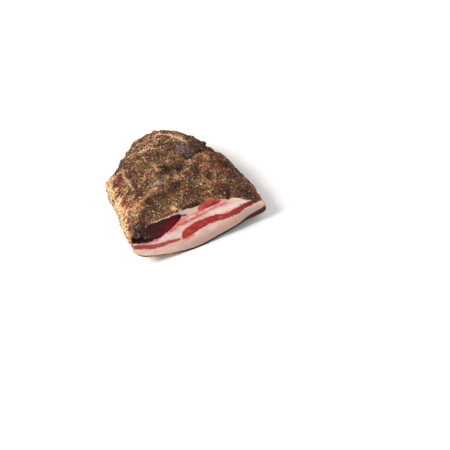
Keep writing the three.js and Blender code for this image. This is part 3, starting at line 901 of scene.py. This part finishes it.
def lean_tones(points, key):
    """Colours of the lean: fibres and paler flecks, pinker at its border, darker where it has dried."""
    flat = cut_axes(points)
    x, up, behind = flat.T
    tilted = face_places(0.16 * (x - 0.8 * up), up + 0.15 * x, 0.3 * behind)
    fibres = wander(tilted, 1.1, 3.7)
    cloud = wander(flat * np.array([0.6, 1, 0.5]), 4.6, 5.1)
    grain = wander(flat, 1.5, 2.9)
    colours = ramp(0.5 + 0.6 * fibres + 0.6 * cloud + 0.4 * grain, [
        (0, tone(110, 8, 14)), (0.45, tone(152, 16, 20)), (0.8, tone(178, 32, 32)), (1.1, tone(198, 72, 66))])
    border = np.exp(np.minimum(lean_distance(x, up), 0) / 0.9)
    colours = overlay(
        colours,
        (tone(206, 100, 94), 0.6 * smooth(0.1, 0.45, wander(tilted, 1.5, 8.3))),
        (tone(198, 92, 86), np.clip(0.42 * border * (0.8 + 1.4 * grain), 0, 1)),
    )
    own_layers = {
        "lean_thick": [
            (tone(190, 58, 42), 0.5 * smooth(-20, -34, x)),
            (tone(116, 26, 32), 0.65 * smooth(28, 46, x)),
            (tone(78, 24, 20), 0.8 * smooth(48, 62, x))],
        "lean_thin": [
            (tone(144, 60, 58), 0.5 + 0 * x),
            (tone(204, 124, 114), np.clip(0.7 * border * (1 + grain), 0, 1)),
            (tone(128, 50, 46), 0.6 * smooth(-84, -95, x))],
        "upper_lean": [
            (tone(200, 92, 82), 0.5 * smooth(6, -6, x)),
            (tone(120, 22, 30), 0.6 * near_spot(x, up, (14, 50.5), (5, 1.4)))],
    }
    return overlay(colours, *own_layers[key])


def muscle_tones(points):
    """Colours of the dried cheek muscle: crimson, browner above under the lip and near black at its left end,
    both partly dried meat and partly painted shade.
    """
    flat = cut_axes(points)
    x, up, _ = flat.T
    cloud = wander(flat * np.array([0.5, 1, 0.5]), 6.5, 5.1)
    fibres = wander(flat * np.array([0.2, 1, 0.5]), 1.4, 2.7)
    colours = ramp(0.5 + 0.5 * cloud + 0.5 * fibres, [
        (0, tone(52, 2, 12)), (0.5, tone(78, 4, 20)), (1, tone(104, 16, 30))])
    # Browner above, where the muscle sinks back under the lip: partly dried meat and partly painted shade
    above = smooth(43, 50, up + 0.2 * (x + 58) + 2 * cloud) * smooth(-44, -54, x)
    deep = blend(tone(44, 20, 26) + 0 * colours, tone(112, 62, 54), smooth(0, 0.5, fibres + 0.6 * cloud))
    return overlay(
        colours,
        (tone(118, 3, 26), 0.8 * near_spot(x, up - 0.2 * (x + 47), (-47, 43.5), (10, 4.6))),
        (tone(124, 38, 52), 0.6 * near_spot(x, up, (-63, 36), (10, 2.6))),
        (tone(64, 34, 26), 0.8 * above),
        (tone(76, 8, 26), 0.5 * smooth(-45, -38, x)),
        # Darker towards the left end and near black in the cave: partly dried meat and partly painted shade
        (tone(58, 28, 25), 0.85 * smooth(-58, -71, x + 2 * cloud + 0.3 * (up - 40))),
        (deep, 0.9 * smooth(-73, -80, x + 2 * cloud)),
    )


def rind_tones(points):
    """Colours of the rind: tan and leathery, and dark brown to near black beside the cut, partly its own
    colour and partly painted shadow.
    """
    x, _, z = points.T
    cloud = wander(points, 13, 1.7)
    fine = wander(points, 2.6, 4.9)
    colours = ramp(0.5 + 0.5 * cloud + 0.3 * fine, [
        (0, tone(112, 74, 46)), (0.5, tone(150, 104, 66)), (1, tone(184, 140, 96))])
    near_cut = smooth(26, 6, behind_cut(points))
    return overlay(
        colours,
        # Near black beside the cut from the middle rightwards, dark brown at the right end: partly the rind's
        # own dark brown and partly painted shadow along the lower edge
        (tone(40, 18, 10), 0.95 * near_cut * smooth(-62, -34, x + 4 * cloud)),
        (tone(70, 32, 22), 0.85 * near_cut * smooth(46, 56, x)),
        (tone(218, 174, 140), 0.9 * near_cut * smooth(19, 22.5, z) * smooth(50, 62, x)),
        (tone(170, 120, 76), 0.5 * smooth(-70, -92, x)),
    )


def paint(thing, colours):
    layer = thing.data.attributes.new("tone", "FLOAT_COLOR", "POINT")
    full = np.hstack([np.clip(colours, 0, 1), np.ones((len(colours), 1))])
    layer.data.foreach_set("color", full.astype(np.float32).ravel())


def tones_of(thing):
    colours = np.empty(len(thing.data.vertices) * 4, np.float32)
    thing.data.attributes["tone"].data.foreach_get("color", colours)
    return colours.reshape(-1, 4)[:, :3].astype(float)


# Materials
def new_material(name):
    made = bpy.data.materials.new(name)
    made.use_nodes = True
    return made, made.node_tree.nodes, made.node_tree.links


# The part of a noise node's range that is spread over the whole of what it drives
NOISE_LOW = 0.3
NOISE_HIGH = 0.7


def noise_node(nodes, links, coordinates, millimetres, detail=3.0):
    made = nodes.new("ShaderNodeTexNoise")
    made.inputs["Scale"].default_value = 1 / (millimetres * MILLIMETRE)
    made.inputs["Detail"].default_value = detail
    links.new(coordinates.outputs["Object"], made.inputs["Vector"])
    return made


def range_node(nodes, links, noise_made, low, high):
    made = nodes.new("ShaderNodeMapRange")
    for key, value in (("From Min", NOISE_LOW), ("From Max", NOISE_HIGH), ("To Min", low), ("To Max", high)):
        made.inputs[key].default_value = value
    links.new(noise_made.outputs["Fac"], made.inputs["Value"])
    return made.outputs["Result"]


COAT_ROUGHNESS = 0.2

# How deep light goes into fat and lean, in millimetres, and its spread in red, green and blue
LIGHT_DEPTH = 2.2
LIGHT_SPREAD = (1.0, 0.45, 0.3)


def food_material(name, speckle, contrast, roughness, bump, bump_size, under=0.0, coat=0.0, specular=0.5):
    """A material that takes its colour from the painted tone, with finer speckle, gloss and bump."""
    made, nodes, links = new_material(name)
    shader = nodes["Principled BSDF"]
    coordinates = nodes.new("ShaderNodeTexCoord")
    painted = nodes.new("ShaderNodeAttribute")
    painted.attribute_name = "tone"
    fine = noise_node(nodes, links, coordinates, speckle)
    shade = range_node(nodes, links, fine, 1 - contrast, 1 + contrast)
    tint = nodes.new("ShaderNodeVectorMath")
    tint.operation = "SCALE"
    links.new(painted.outputs["Color"], tint.inputs[0])
    links.new(shade, tint.inputs["Scale"])
    links.new(tint.outputs["Vector"], shader.inputs["Base Color"])
    patches = noise_node(nodes, links, coordinates, speckle * 6)
    links.new(range_node(nodes, links, patches, *roughness), shader.inputs["Roughness"])
    relief = noise_node(nodes, links, coordinates, bump_size, 4.0)
    bumps = nodes.new("ShaderNodeBump")
    bumps.inputs["Distance"].default_value = bump * MILLIMETRE
    bumps.inputs["Strength"].default_value = 1.0
    links.new(relief.outputs["Fac"], bumps.inputs["Height"])
    links.new(bumps.outputs["Normal"], shader.inputs["Normal"])
    shader.inputs["Specular IOR Level"].default_value = specular
    shader.inputs["Coat Weight"].default_value = coat
    shader.inputs["Coat Roughness"].default_value = COAT_ROUGHNESS
    if under > 0:
        shader.inputs["Subsurface Weight"].default_value = under
        shader.inputs["Subsurface Radius"].default_value = LIGHT_SPREAD
        shader.inputs["Subsurface Scale"].default_value = LIGHT_DEPTH * MILLIMETRE
    return made


# Edges steeper than this stay sharp
SHARP_ANGLE = np.radians(60)


def to_frame(thing):
    """Moves a finished piece from its own axes into the frame and shades it smooth."""
    x, y, z = ORIGIN
    thing.data.transform(Matrix.Translation((x, y, z)) @ Matrix.Scale(MILLIMETRE, 4))
    thing.data.polygons.foreach_set("use_smooth", np.ones(len(thing.data.polygons), bool))
    thing.data.set_sharp_from_angle(angle=SHARP_ANGLE)
    thing.data.update()


def dress(thing, material, slot, *nodes):
    thing.data.materials.clear()
    thing.data.materials.append(material)
    to_frame(thing)
    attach(thing, "root")
    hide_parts(*nodes)


# The thick streak's node has its low corner at its first section and lowest edge, which gives the origin
thick_spine = LEAN["lean_thick"][0]
sections = spline(thick_spine, 2 * len(thick_spine) + 1)
lowest_edge = (sections[:, 1] - sections[:, 2] / 2).min()
corner = on_cut(thick_spine[0][0], lowest_edge) * MILLIMETRE
ORIGIN = np.array(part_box("lean_thick")[0]) - corner


def fine_relief(points, held):
    """Lumps, wrinkles and roughness of the crust that are too fine for the solid."""
    lumps = 0.4 * billow(points, 13, 4.2) + 0.4 * billow(points, 5.2, 7.9)
    rough = 0.3 * wander(points, 2.3, 1.6)
    away = np.hypot((points[:, 0] + 4) / 32, (points[:, 1] - 72) / 24)
    return (lumps * (1 + np.exp(-away * away)) + rough) * held


def skin_inside(depth_of):
    """The closed surface below the skin, at the depth that depth_of gives for each point."""
    unit, faces = sphere(SKIN_LEVELS)
    points, normals, _, _ = form(unit)
    points = pressed(points)
    return points - normals * depth_of(points)[:, None], faces


def crust_depth(points):
    """The crust is thinner at the cut."""
    return CRUST_DEPTH - THINNER_AT_CUT * smooth(14, 2, behind_cut(points))


def rind_depth(points):
    """The rind is thickest where it curls up at the right end of the cut."""
    x, _, z = points.T
    right_end = smooth(36, 66, x) * smooth(20, 4, behind_cut(points))
    return RIND_DEPTH + RIND_FLAP * right_end * smooth(23, 18, z) - THIN_EDGE * right_end * smooth(18, 23, z)


def nub():
    unit, faces = sphere(NUB_LEVELS)
    places = unit * NUB["radius"] * np.array(NUB["stretch"]) + np.array(NUB["middle"])
    rough = NUB["radius"] * (0.16 * wander(places, 3.6, 2.7) - 0.04)
    return solid("nub", places + unit * rough[:, None], faces, own=np.ones(len(unit)))


def rind_cutter(name, lift):
    """All that lies below the wavy line between rind and crust."""
    x, y = np.meshgrid(np.arange(*PLAN_X, PLAN_STEP), np.arange(*PLAN_Y, PLAN_STEP), indexing="ij")
    places = face_places(x.ravel(), y.ravel())
    line = RIND_LINE + lift + 2.4 * wander(places, 24, 3.3) + 1.2 * wander(places, 8, 6.1)
    line += RIGHT_END_RISE * smooth(52, 72, places[:, 0]) * smooth(50, 8, places[:, 1])
    grid = np.stack([x, y, line.reshape(x.shape)], -1)
    return wedge(name, grid, np.array([0.0, 60.0, -FAR]))


def outer_crust():
    """The crust's outside as points and triangles, and how high each point stands out."""
    unit, faces = sphere(CRUST_LEVELS)
    points, normals, rise, crusty = form(unit)
    held = crusty * (0.35 + 0.65 * smooth(0, 9, behind_cut(points)))
    fine = fine_relief(points, held)
    raised = pressed(points) + normals * fine[:, None]
    raised[:, 2] = np.maximum(raised[:, 2], 0)
    return raised, faces, rise + 1.5 * fine


def ragged(along, up):
    """The crust's own edge at the cut."""
    flat = face_places(along, up)
    return knife_relief(along, up) - 0.3 + 0.4 * wander(flat, 2.2, 4.4) + 0.3 * wander(flat, 6, 8.4)


def make_crust():
    outer, faces, relief = outer_crust()
    crust = solid("crust", outer, faces, relief=relief, own=np.ones(len(outer)))
    combine(crust, "DIFFERENCE", solid("inside", *skin_inside(crust_depth)))
    combine(crust, "INTERSECT", meat_block("block", ragged))
    combine(crust, "DIFFERENCE", rind_cutter("below", -0.6))
    combine(crust, "UNION", lip_roll())
    combine(crust, "UNION", nub())
    combine(crust, "DIFFERENCE", streak("pocket", "cheek_muscle", grow=0.2))
    keep_largest(crust)
    points, _ = arrays(crust.data)
    known = numbers_of(crust.data, "own") > 0.5
    colours, bare = crust_tones(points, spread(crust.data, numbers_of(crust.data, "relief"), known))
    paint(crust, colours)
    crust.data.attributes.new("bare", "FLOAT", "POINT").data.foreach_set("value", bare.astype(np.float32))
    return crust


def make_rind():
    unit, faces = sphere(SKIN_LEVELS)
    points, normals, _, _ = form(unit)
    points = pressed(points)
    leathery = 0.35 + 0.22 * wander(points, 5, 2.9) + 0.16 * billow(points, 2.6, 6.2)
    outside = points + normals * leathery[:, None]
    outside[:, 2] = np.maximum(outside[:, 2], 0)
    rind = solid("rind", outside, faces)
    combine(rind, "DIFFERENCE", solid("inside", *skin_inside(rind_depth)))
    combine(rind, "INTERSECT", meat_block("block", lambda s, h: knife_relief(s, h) - 0.35, 1.1))
    combine(rind, "INTERSECT", rind_cutter("below", 0.4))
    keep_largest(rind)
    paint(rind, rind_tones(arrays(rind.data)[0]))
    return rind


def make_fat():
    def depth(points):
        low = smooth(RIND_LINE + 4, RIND_LINE - 4, points[:, 2])
        return crust_depth(points) * (1 - low) + rind_depth(points) * low - SKIN_OVERLAP

    fat = solid("fat", *skin_inside(depth))
    combine(fat, "INTERSECT", meat_block("block", knife_relief))
    for key in LEAN:
        gap = SHRINKAGE_GAP if key == "cheek_muscle" else SNUG_GAP
        combine(fat, "DIFFERENCE", streak("pocket", key, grow=gap))
    keep_largest(fat)
    paint(fat, fat_tones(arrays(fat.data)[0]))
    return fat


def make_lean(name, key):
    lean = streak(name, key)
    dried = key == "cheek_muscle"
    combine(lean, "INTERSECT", meat_block("block", muscle_relief if dried else lean_relief))
    keep_largest(lean)
    points, _ = arrays(lean.data)
    paint(lean, muscle_tones(points) if dried else lean_tones(points, key))
    return lean


# Cracked pepper: how uneven its stones and crumbs are, their stretch in each direction, where their
# middles lie in radii above the ground, and how far the shade and the tint vary from grain to grain
STONE_JITTER = 0.26
CRUMB_JITTER = 0.35
STRETCH = [(0.75, 1.25), (0.7, 1.1), (0.5, 0.9)]
MIDDLE_ABOVE = (-0.25, 0.2)
SHADE_POWER = (-0.7, 0.55)
SHADE_FACTOR = (0.7, 1.35)
TINT_FACTOR = (0.9, 1.1)


# Neighbouring corners of an icosahedron of radius 1 are nearer than this
NEIGHBOUR_REACH = 1.1


def stone_shapes(count, random):
    """Uneven stones of 12 points and 20 triangles."""
    golden = (1 + 5 ** 0.5) / 2
    corners = []
    for a in (-1, 1):
        for b in (-golden, golden):
            corners += [(0, a, b), (a, b, 0), (b, 0, a)]
    corners = np.array(corners, float)
    corners /= np.linalg.norm(corners, axis=1)[:, None]
    near = np.linalg.norm(corners[:, None] - corners[None], axis=2) < NEIGHBOUR_REACH
    faces = []
    for i in range(12):
        for j in range(i + 1, 12):
            for k in range(j + 1, 12):
                if near[i, j] and near[j, k] and near[i, k]:
                    out = np.cross(corners[j] - corners[i], corners[k] - corners[i]) @ corners[i]
                    faces.append((i, j, k) if out > 0 else (i, k, j))
    jitter = 1 + STONE_JITTER * random.uniform(-1, 1, (count, 12, 1))
    return corners[None] * jitter, np.array(faces)


def crumb_shapes(count, random):
    """Uneven crumbs of 6 points and 8 triangles."""
    corners = np.array([(1, 0, 0), (-1, 0, 0), (0, 1, 0), (0, -1, 0), (0, 0, 1), (0, 0, -1)], float)
    faces = [
        (a, b, c) if (a + b + c) % 2 == 0 else (a, c, b)
        for a in (0, 1) for b in (2, 3) for c in (4, 5)
    ]
    jitter = 1 + CRUMB_JITTER * random.uniform(-1, 1, (count, 6, 1))
    return corners[None] * jitter, np.array(faces)


def turned(shapes, random):
    """Each shape turned at random."""
    turn = random.normal(size=(len(shapes), 1, 4))
    turn /= np.linalg.norm(turn, axis=2, keepdims=True)
    axis = turn[..., 1:]
    return shapes + 2 * np.cross(axis, np.cross(axis, shapes) + turn[..., :1] * shapes)


def brightness(colours):
    return colours @ np.array([0.3, 0.59, 0.11])


# From grain to grain green and blue change faster than red, so that pale grains look greyer, and all
# grains are a little warmer than the crust below them
GREYING = np.array([1, 1.25, 1.5])
WARMING = np.array([1, 0.92, 0.84])


def scatter(surface, name, count, sizes, shapes_of, palette, weight_of, seed, under, pale=0.0):
    """Grains of one kind on a surface, as one joined mesh: more where weight_of is high.

    under is the share that a grain takes of the ground's own colour, and how much paler it is than it;
    with pale above 0 there are more grains where the ground is pale.
    """
    random = np.random.default_rng(seed)
    points, faces, ground, bare = surface
    corners = points[faces]
    cross = np.cross(corners[:, 1] - corners[:, 0], corners[:, 2] - corners[:, 0])
    area = np.linalg.norm(cross, axis=1)
    local = ground[faces[:, 0]]
    share = brightness(local) / brightness(local).mean()
    weight = area * weight_of(corners.mean(1)) * np.clip(share, 0.25, 3) ** pale * (1 - bare[faces[:, 0]])
    weight /= weight.sum()
    chosen = random.choice(len(faces), size=count, p=weight)
    a, b = np.sqrt(random.random(count)), random.random(count)
    shares = np.stack([1 - a, a * (1 - b), a * b], 1)
    places = (shares[:, :, None] * corners[chosen]).sum(1)
    normals = cross[chosen] / area[chosen][:, None]
    small, large = sizes
    radius = (small + (large - small) * random.random(count) ** 1.5) / 2
    shapes, triangles = shapes_of(count, random)
    shapes = shapes * np.stack([random.uniform(*reach, count) for reach in STRETCH], 1)[:, None]
    shapes = turned(shapes, random) * radius[:, None, None]
    shapes += (places + normals * (radius * random.uniform(*MIDDLE_ABOVE, count))[:, None])[:, None]
    size = shapes.shape[1]
    all_faces = triangles[None] + (np.arange(count) * size)[:, None, None]
    grains = solid(name, shapes.reshape(-1, 3), all_faces.reshape(-1, 3))
    mix, lift = under
    shade = 10 ** random.uniform(*SHADE_POWER, (count, 1))
    dusty = local[chosen] * lift * shade ** GREYING * WARMING
    lit = np.clip(share[chosen], 0.3, 1.6)[:, None] ** 0.35
    colours = blend(ramp(random.random(count), palette) * lit, dusty, np.full(count, mix))
    colours = colours * random.uniform(*SHADE_FACTOR, (count, 1)) * random.uniform(*TINT_FACTOR, (count, 3))
    paint(grains, np.repeat(colours, size, axis=0))
    return grains


def grain_surface(thing):
    """The triangles that pepper lies on: the outside, but not where it has been cut."""
    points, faces = arrays(thing.data)
    if "own" in thing.data.attributes:
        faces = faces[numbers_of(thing.data, "own")[faces].min(1) > 0.5]
    return points, faces, tones_of(thing), numbers_of(thing.data, "bare")


def pepper_weight(centres):
    """Pepper in loose clumps, with less on the left flank and near the rind."""
    flank = smooth(-84, -97, centres[:, 0]) * smooth(135, 100, centres[:, 1])
    clumps = 0.65 + 0.7 * smooth(-0.4, 0.4, wander(centres, 9, 2.4))
    low = smooth(RIND_LINE - 2, RIND_LINE + 12, centres[:, 2])
    return clumps * (1 - 0.5 * flank) * (0.25 + 0.75 * low)


def even_weight(centres):
    """Pepper in clumps, with less near the rind."""
    clumps = 0.5 + smooth(-0.3, 0.3, wander(centres, 6, 7.4))
    return clumps * (0.3 + 0.7 * smooth(RIND_LINE - 2, RIND_LINE + 12, centres[:, 2]))


def left_weight(centres):
    """As even_weight, with a little less towards the right."""
    return even_weight(centres) * (1 - 0.15 * smooth(5, 45, centres[:, 0]))


def cave_weight(centres):
    """Pepper caught in the small cave at the left end of the muscle."""
    x, up, behind = cut_axes(centres).T
    left = smooth(-76, -86, x + 0.5 * up - 20)
    return left * smooth(14, 10, behind) * smooth(50, 44, up) + 1e-9


# Palettes of pepper, from dark to pale
BLACK_TONES = [(0, tone(24, 15, 11)), (0.6, tone(42, 27, 19)), (1, tone(68, 42, 28))]
BROWN_TONES = [
    (0, tone(62, 34, 18)), (0.35, tone(104, 60, 36)), (0.7, tone(96, 72, 40)), (1, tone(134, 92, 64))]
TAN_TONES = [(0, tone(154, 114, 86)), (0.5, tone(200, 166, 142)), (1, tone(238, 222, 212))]
GRIT_TONES = [
    (0, tone(24, 14, 10)), (0.3, tone(60, 36, 20)), (0.62, tone(120, 78, 50)), (0.86, tone(184, 146, 114)),
    (1, tone(238, 224, 214))]
# Pepper in the cave, dark and wet; its pale end is painted glints
WET_AND_GLINT_TONES = [
    (0, tone(34, 20, 18)), (0.66, tone(78, 46, 38)), (0.7, tone(140, 108, 100)), (1, tone(224, 198, 190))]

# Kinds of pepper on the crust: count, sizes in millimetres, shape, palette, where it lies, seed, its
# share and lift of the crust's own colour, and how far it keeps to the pale crust
PEPPER = [
    ("pepper_black", 4800, (0.9, 2.6), stone_shapes, BLACK_TONES, pepper_weight, 11, (0.2, 0.5)),
    ("pepper_brown", 4200, (0.9, 2.2), stone_shapes, BROWN_TONES, pepper_weight, 12, (0.65, 1.0)),
    ("pepper_tan", 4000, (0.8, 1.9), stone_shapes, TAN_TONES, left_weight, 13, (0.3, 1.6), 0.6),
    ("pepper_grit", 22000, (0.8, 1.5), crumb_shapes, GRIT_TONES, even_weight, 16, (0.65, 1.0)),
    ("pepper_dust", 20000, (0.45, 0.9), crumb_shapes, GRIT_TONES, even_weight, 14, (0.6, 1.1)),
]
CAVE_PEPPER = ("pepper_cave", 560, (0.8, 2.2), stone_shapes, WET_AND_GLINT_TONES, cave_weight, 15, (0.2, 1.2))


def make_pepper(crust, muscle):
    surface = grain_surface(crust)
    on_crust = [scatter(surface, *kind) for kind in PEPPER]
    return on_crust + [scatter(grain_surface(muscle), *CAVE_PEPPER)]


crust = make_crust()
rind = make_rind()
fat = make_fat()
thick_streak = make_lean("thick_streak", "lean_thick")
thin_streak = make_lean("thin_streak", "lean_thin")
upper_streak = make_lean("upper_streak", "upper_lean")
cheek_meat = make_lean("cheek_meat", "cheek_muscle")
pepper = make_pepper(crust, cheek_meat)

# Size of the speckle and its contrast, range of roughness, height and size of the bumps
crust_material = food_material("crust", 1.5, 0.45, (0.55, 0.85), 0.6, 1.1, specular=0.16)
fat_material = food_material("fat", 2.2, 0.06, (0.32, 0.55), 0.08, 1.4, under=0.3, coat=0.05)
rind_material = food_material("rind", 1.1, 0.2, (0.42, 0.66), 0.25, 0.9, specular=0.2)
lean_material = food_material("lean", 0.9, 0.22, (0.35, 0.55), 0.12, 0.6, under=0.12, coat=0.04, specular=0.3)
muscle_material = food_material("muscle", 1.0, 0.25, (0.4, 0.6), 0.2, 0.9, specular=0.12)
pepper_material = food_material("pepper", 0.4, 0.2, (0.5, 0.8), 0.1, 0.3, specular=0.22)

dress(crust, crust_material, "crust", "jowl")
dress(rind, rind_material, "rind", "jowl")
dress(fat, fat_material, "fat", "jowl")
dress(thick_streak, lean_material, "lean", "lean_thick")
dress(thin_streak, lean_material, "lean", "lean_thin")
dress(upper_streak, lean_material, "lean", "upper_lean")
dress(cheek_meat, muscle_material, "muscle", "cheek_muscle")
for grains in pepper:
    dress(grains, pepper_material, "pepper", "jowl")


# Floor and light, in metres
HALF_FLOOR = 4.0
FLOOR_COLOUR = (0.86, 0.86, 0.86, 1)
FLOOR_ROUGHNESS = 0.7
LAMP_TARGET = (0, 0, 0.03)
SKY_COLOUR = (0.98, 0.98, 1.0, 1)
SKY_STRENGTH = 0.6


def make_floor():
    corners = [(HALF_FLOOR * x, HALF_FLOOR * y, 0) for x, y in ((-1, -1), (1, -1), (1, 1), (-1, 1))]
    mesh = bpy.data.meshes.new("floor")
    mesh.from_pydata(corners, [], [(0, 1, 2, 3)])
    made, nodes, _ = new_material("floor")
    nodes["Principled BSDF"].inputs["Base Color"].default_value = FLOOR_COLOUR
    nodes["Principled BSDF"].inputs["Roughness"].default_value = FLOOR_ROUGHNESS
    mesh.materials.append(made)
    floor = placed("floor", mesh)


def make_light(name, place, size, power, colour):
    """A square lamp that points at the jowl."""
    data = bpy.data.lights.new(name, "AREA")
    data.shape = "SQUARE"
    data.size = size
    data.energy = power
    data.color = colour
    lamp = placed(name, data)
    lamp.location = place
    aim = Vector(LAMP_TARGET) - Vector(place)
    lamp.rotation_mode = "QUATERNION"
    lamp.rotation_quaternion = aim.to_track_quat("-Z", "Y")


def make_world():
    world = bpy.data.worlds.new("studio")
    bpy.context.scene.world = world
    world.use_nodes = True
    world.node_tree.nodes["Background"].inputs["Color"].default_value = SKY_COLOUR
    world.node_tree.nodes["Background"].inputs["Strength"].default_value = SKY_STRENGTH


# The photograph's camera, in the jowl's own axes: place in millimetres, angles and focal length in pixels
CAMERA_PLACE = np.array([-128.3, -504.4, 629.6])
CAMERA_YAW = np.radians(16.03)
CAMERA_DOWN = np.radians(49.1)
CAMERA_ROLL = np.radians(9.1)
FOCAL_PIXELS = 639.6
PICTURE_PIXELS = 450
CENTRE_PIXEL_UP = 1
SENSOR_WIDTH = 36


def make_camera():
    flat = np.cos(CAMERA_DOWN)
    ahead = np.array([np.sin(CAMERA_YAW) * flat, np.cos(CAMERA_YAW) * flat, -np.sin(CAMERA_DOWN)])
    level = np.array([np.cos(CAMERA_YAW), -np.sin(CAMERA_YAW), 0])
    below = np.cross(ahead, level)
    right = np.cos(CAMERA_ROLL) * level + np.sin(CAMERA_ROLL) * below
    down = -np.sin(CAMERA_ROLL) * level + np.cos(CAMERA_ROLL) * below
    data = bpy.data.cameras.new("camera")
    data.sensor_width = SENSOR_WIDTH
    data.lens = FOCAL_PIXELS * SENSOR_WIDTH / PICTURE_PIXELS
    data.shift_y = -CENTRE_PIXEL_UP / PICTURE_PIXELS
    camera = placed("camera", data)
    axes = Matrix([right, -down, -ahead]).transposed()
    camera.matrix_world = Matrix.Translation(ORIGIN + CAMERA_PLACE * MILLIMETRE) @ axes.to_4x4()
    bpy.context.scene.camera = camera


make_floor()
make_world()
# Where each lamp stands, how wide it is, its power in watts and its colour
make_light("key", (-1.15, 0.15, 1.2), 0.7, 28, (1.0, 0.97, 0.93))
make_light("fill", (-0.3, -1.3, 0.9), 1.2, 4, (1.0, 0.98, 0.95))
make_light("back", (1.2, 0.6, 1.1), 1.2, 7, (1.0, 0.93, 0.86))
make_camera()
bpy.context.scene.view_settings.view_transform = "Standard"
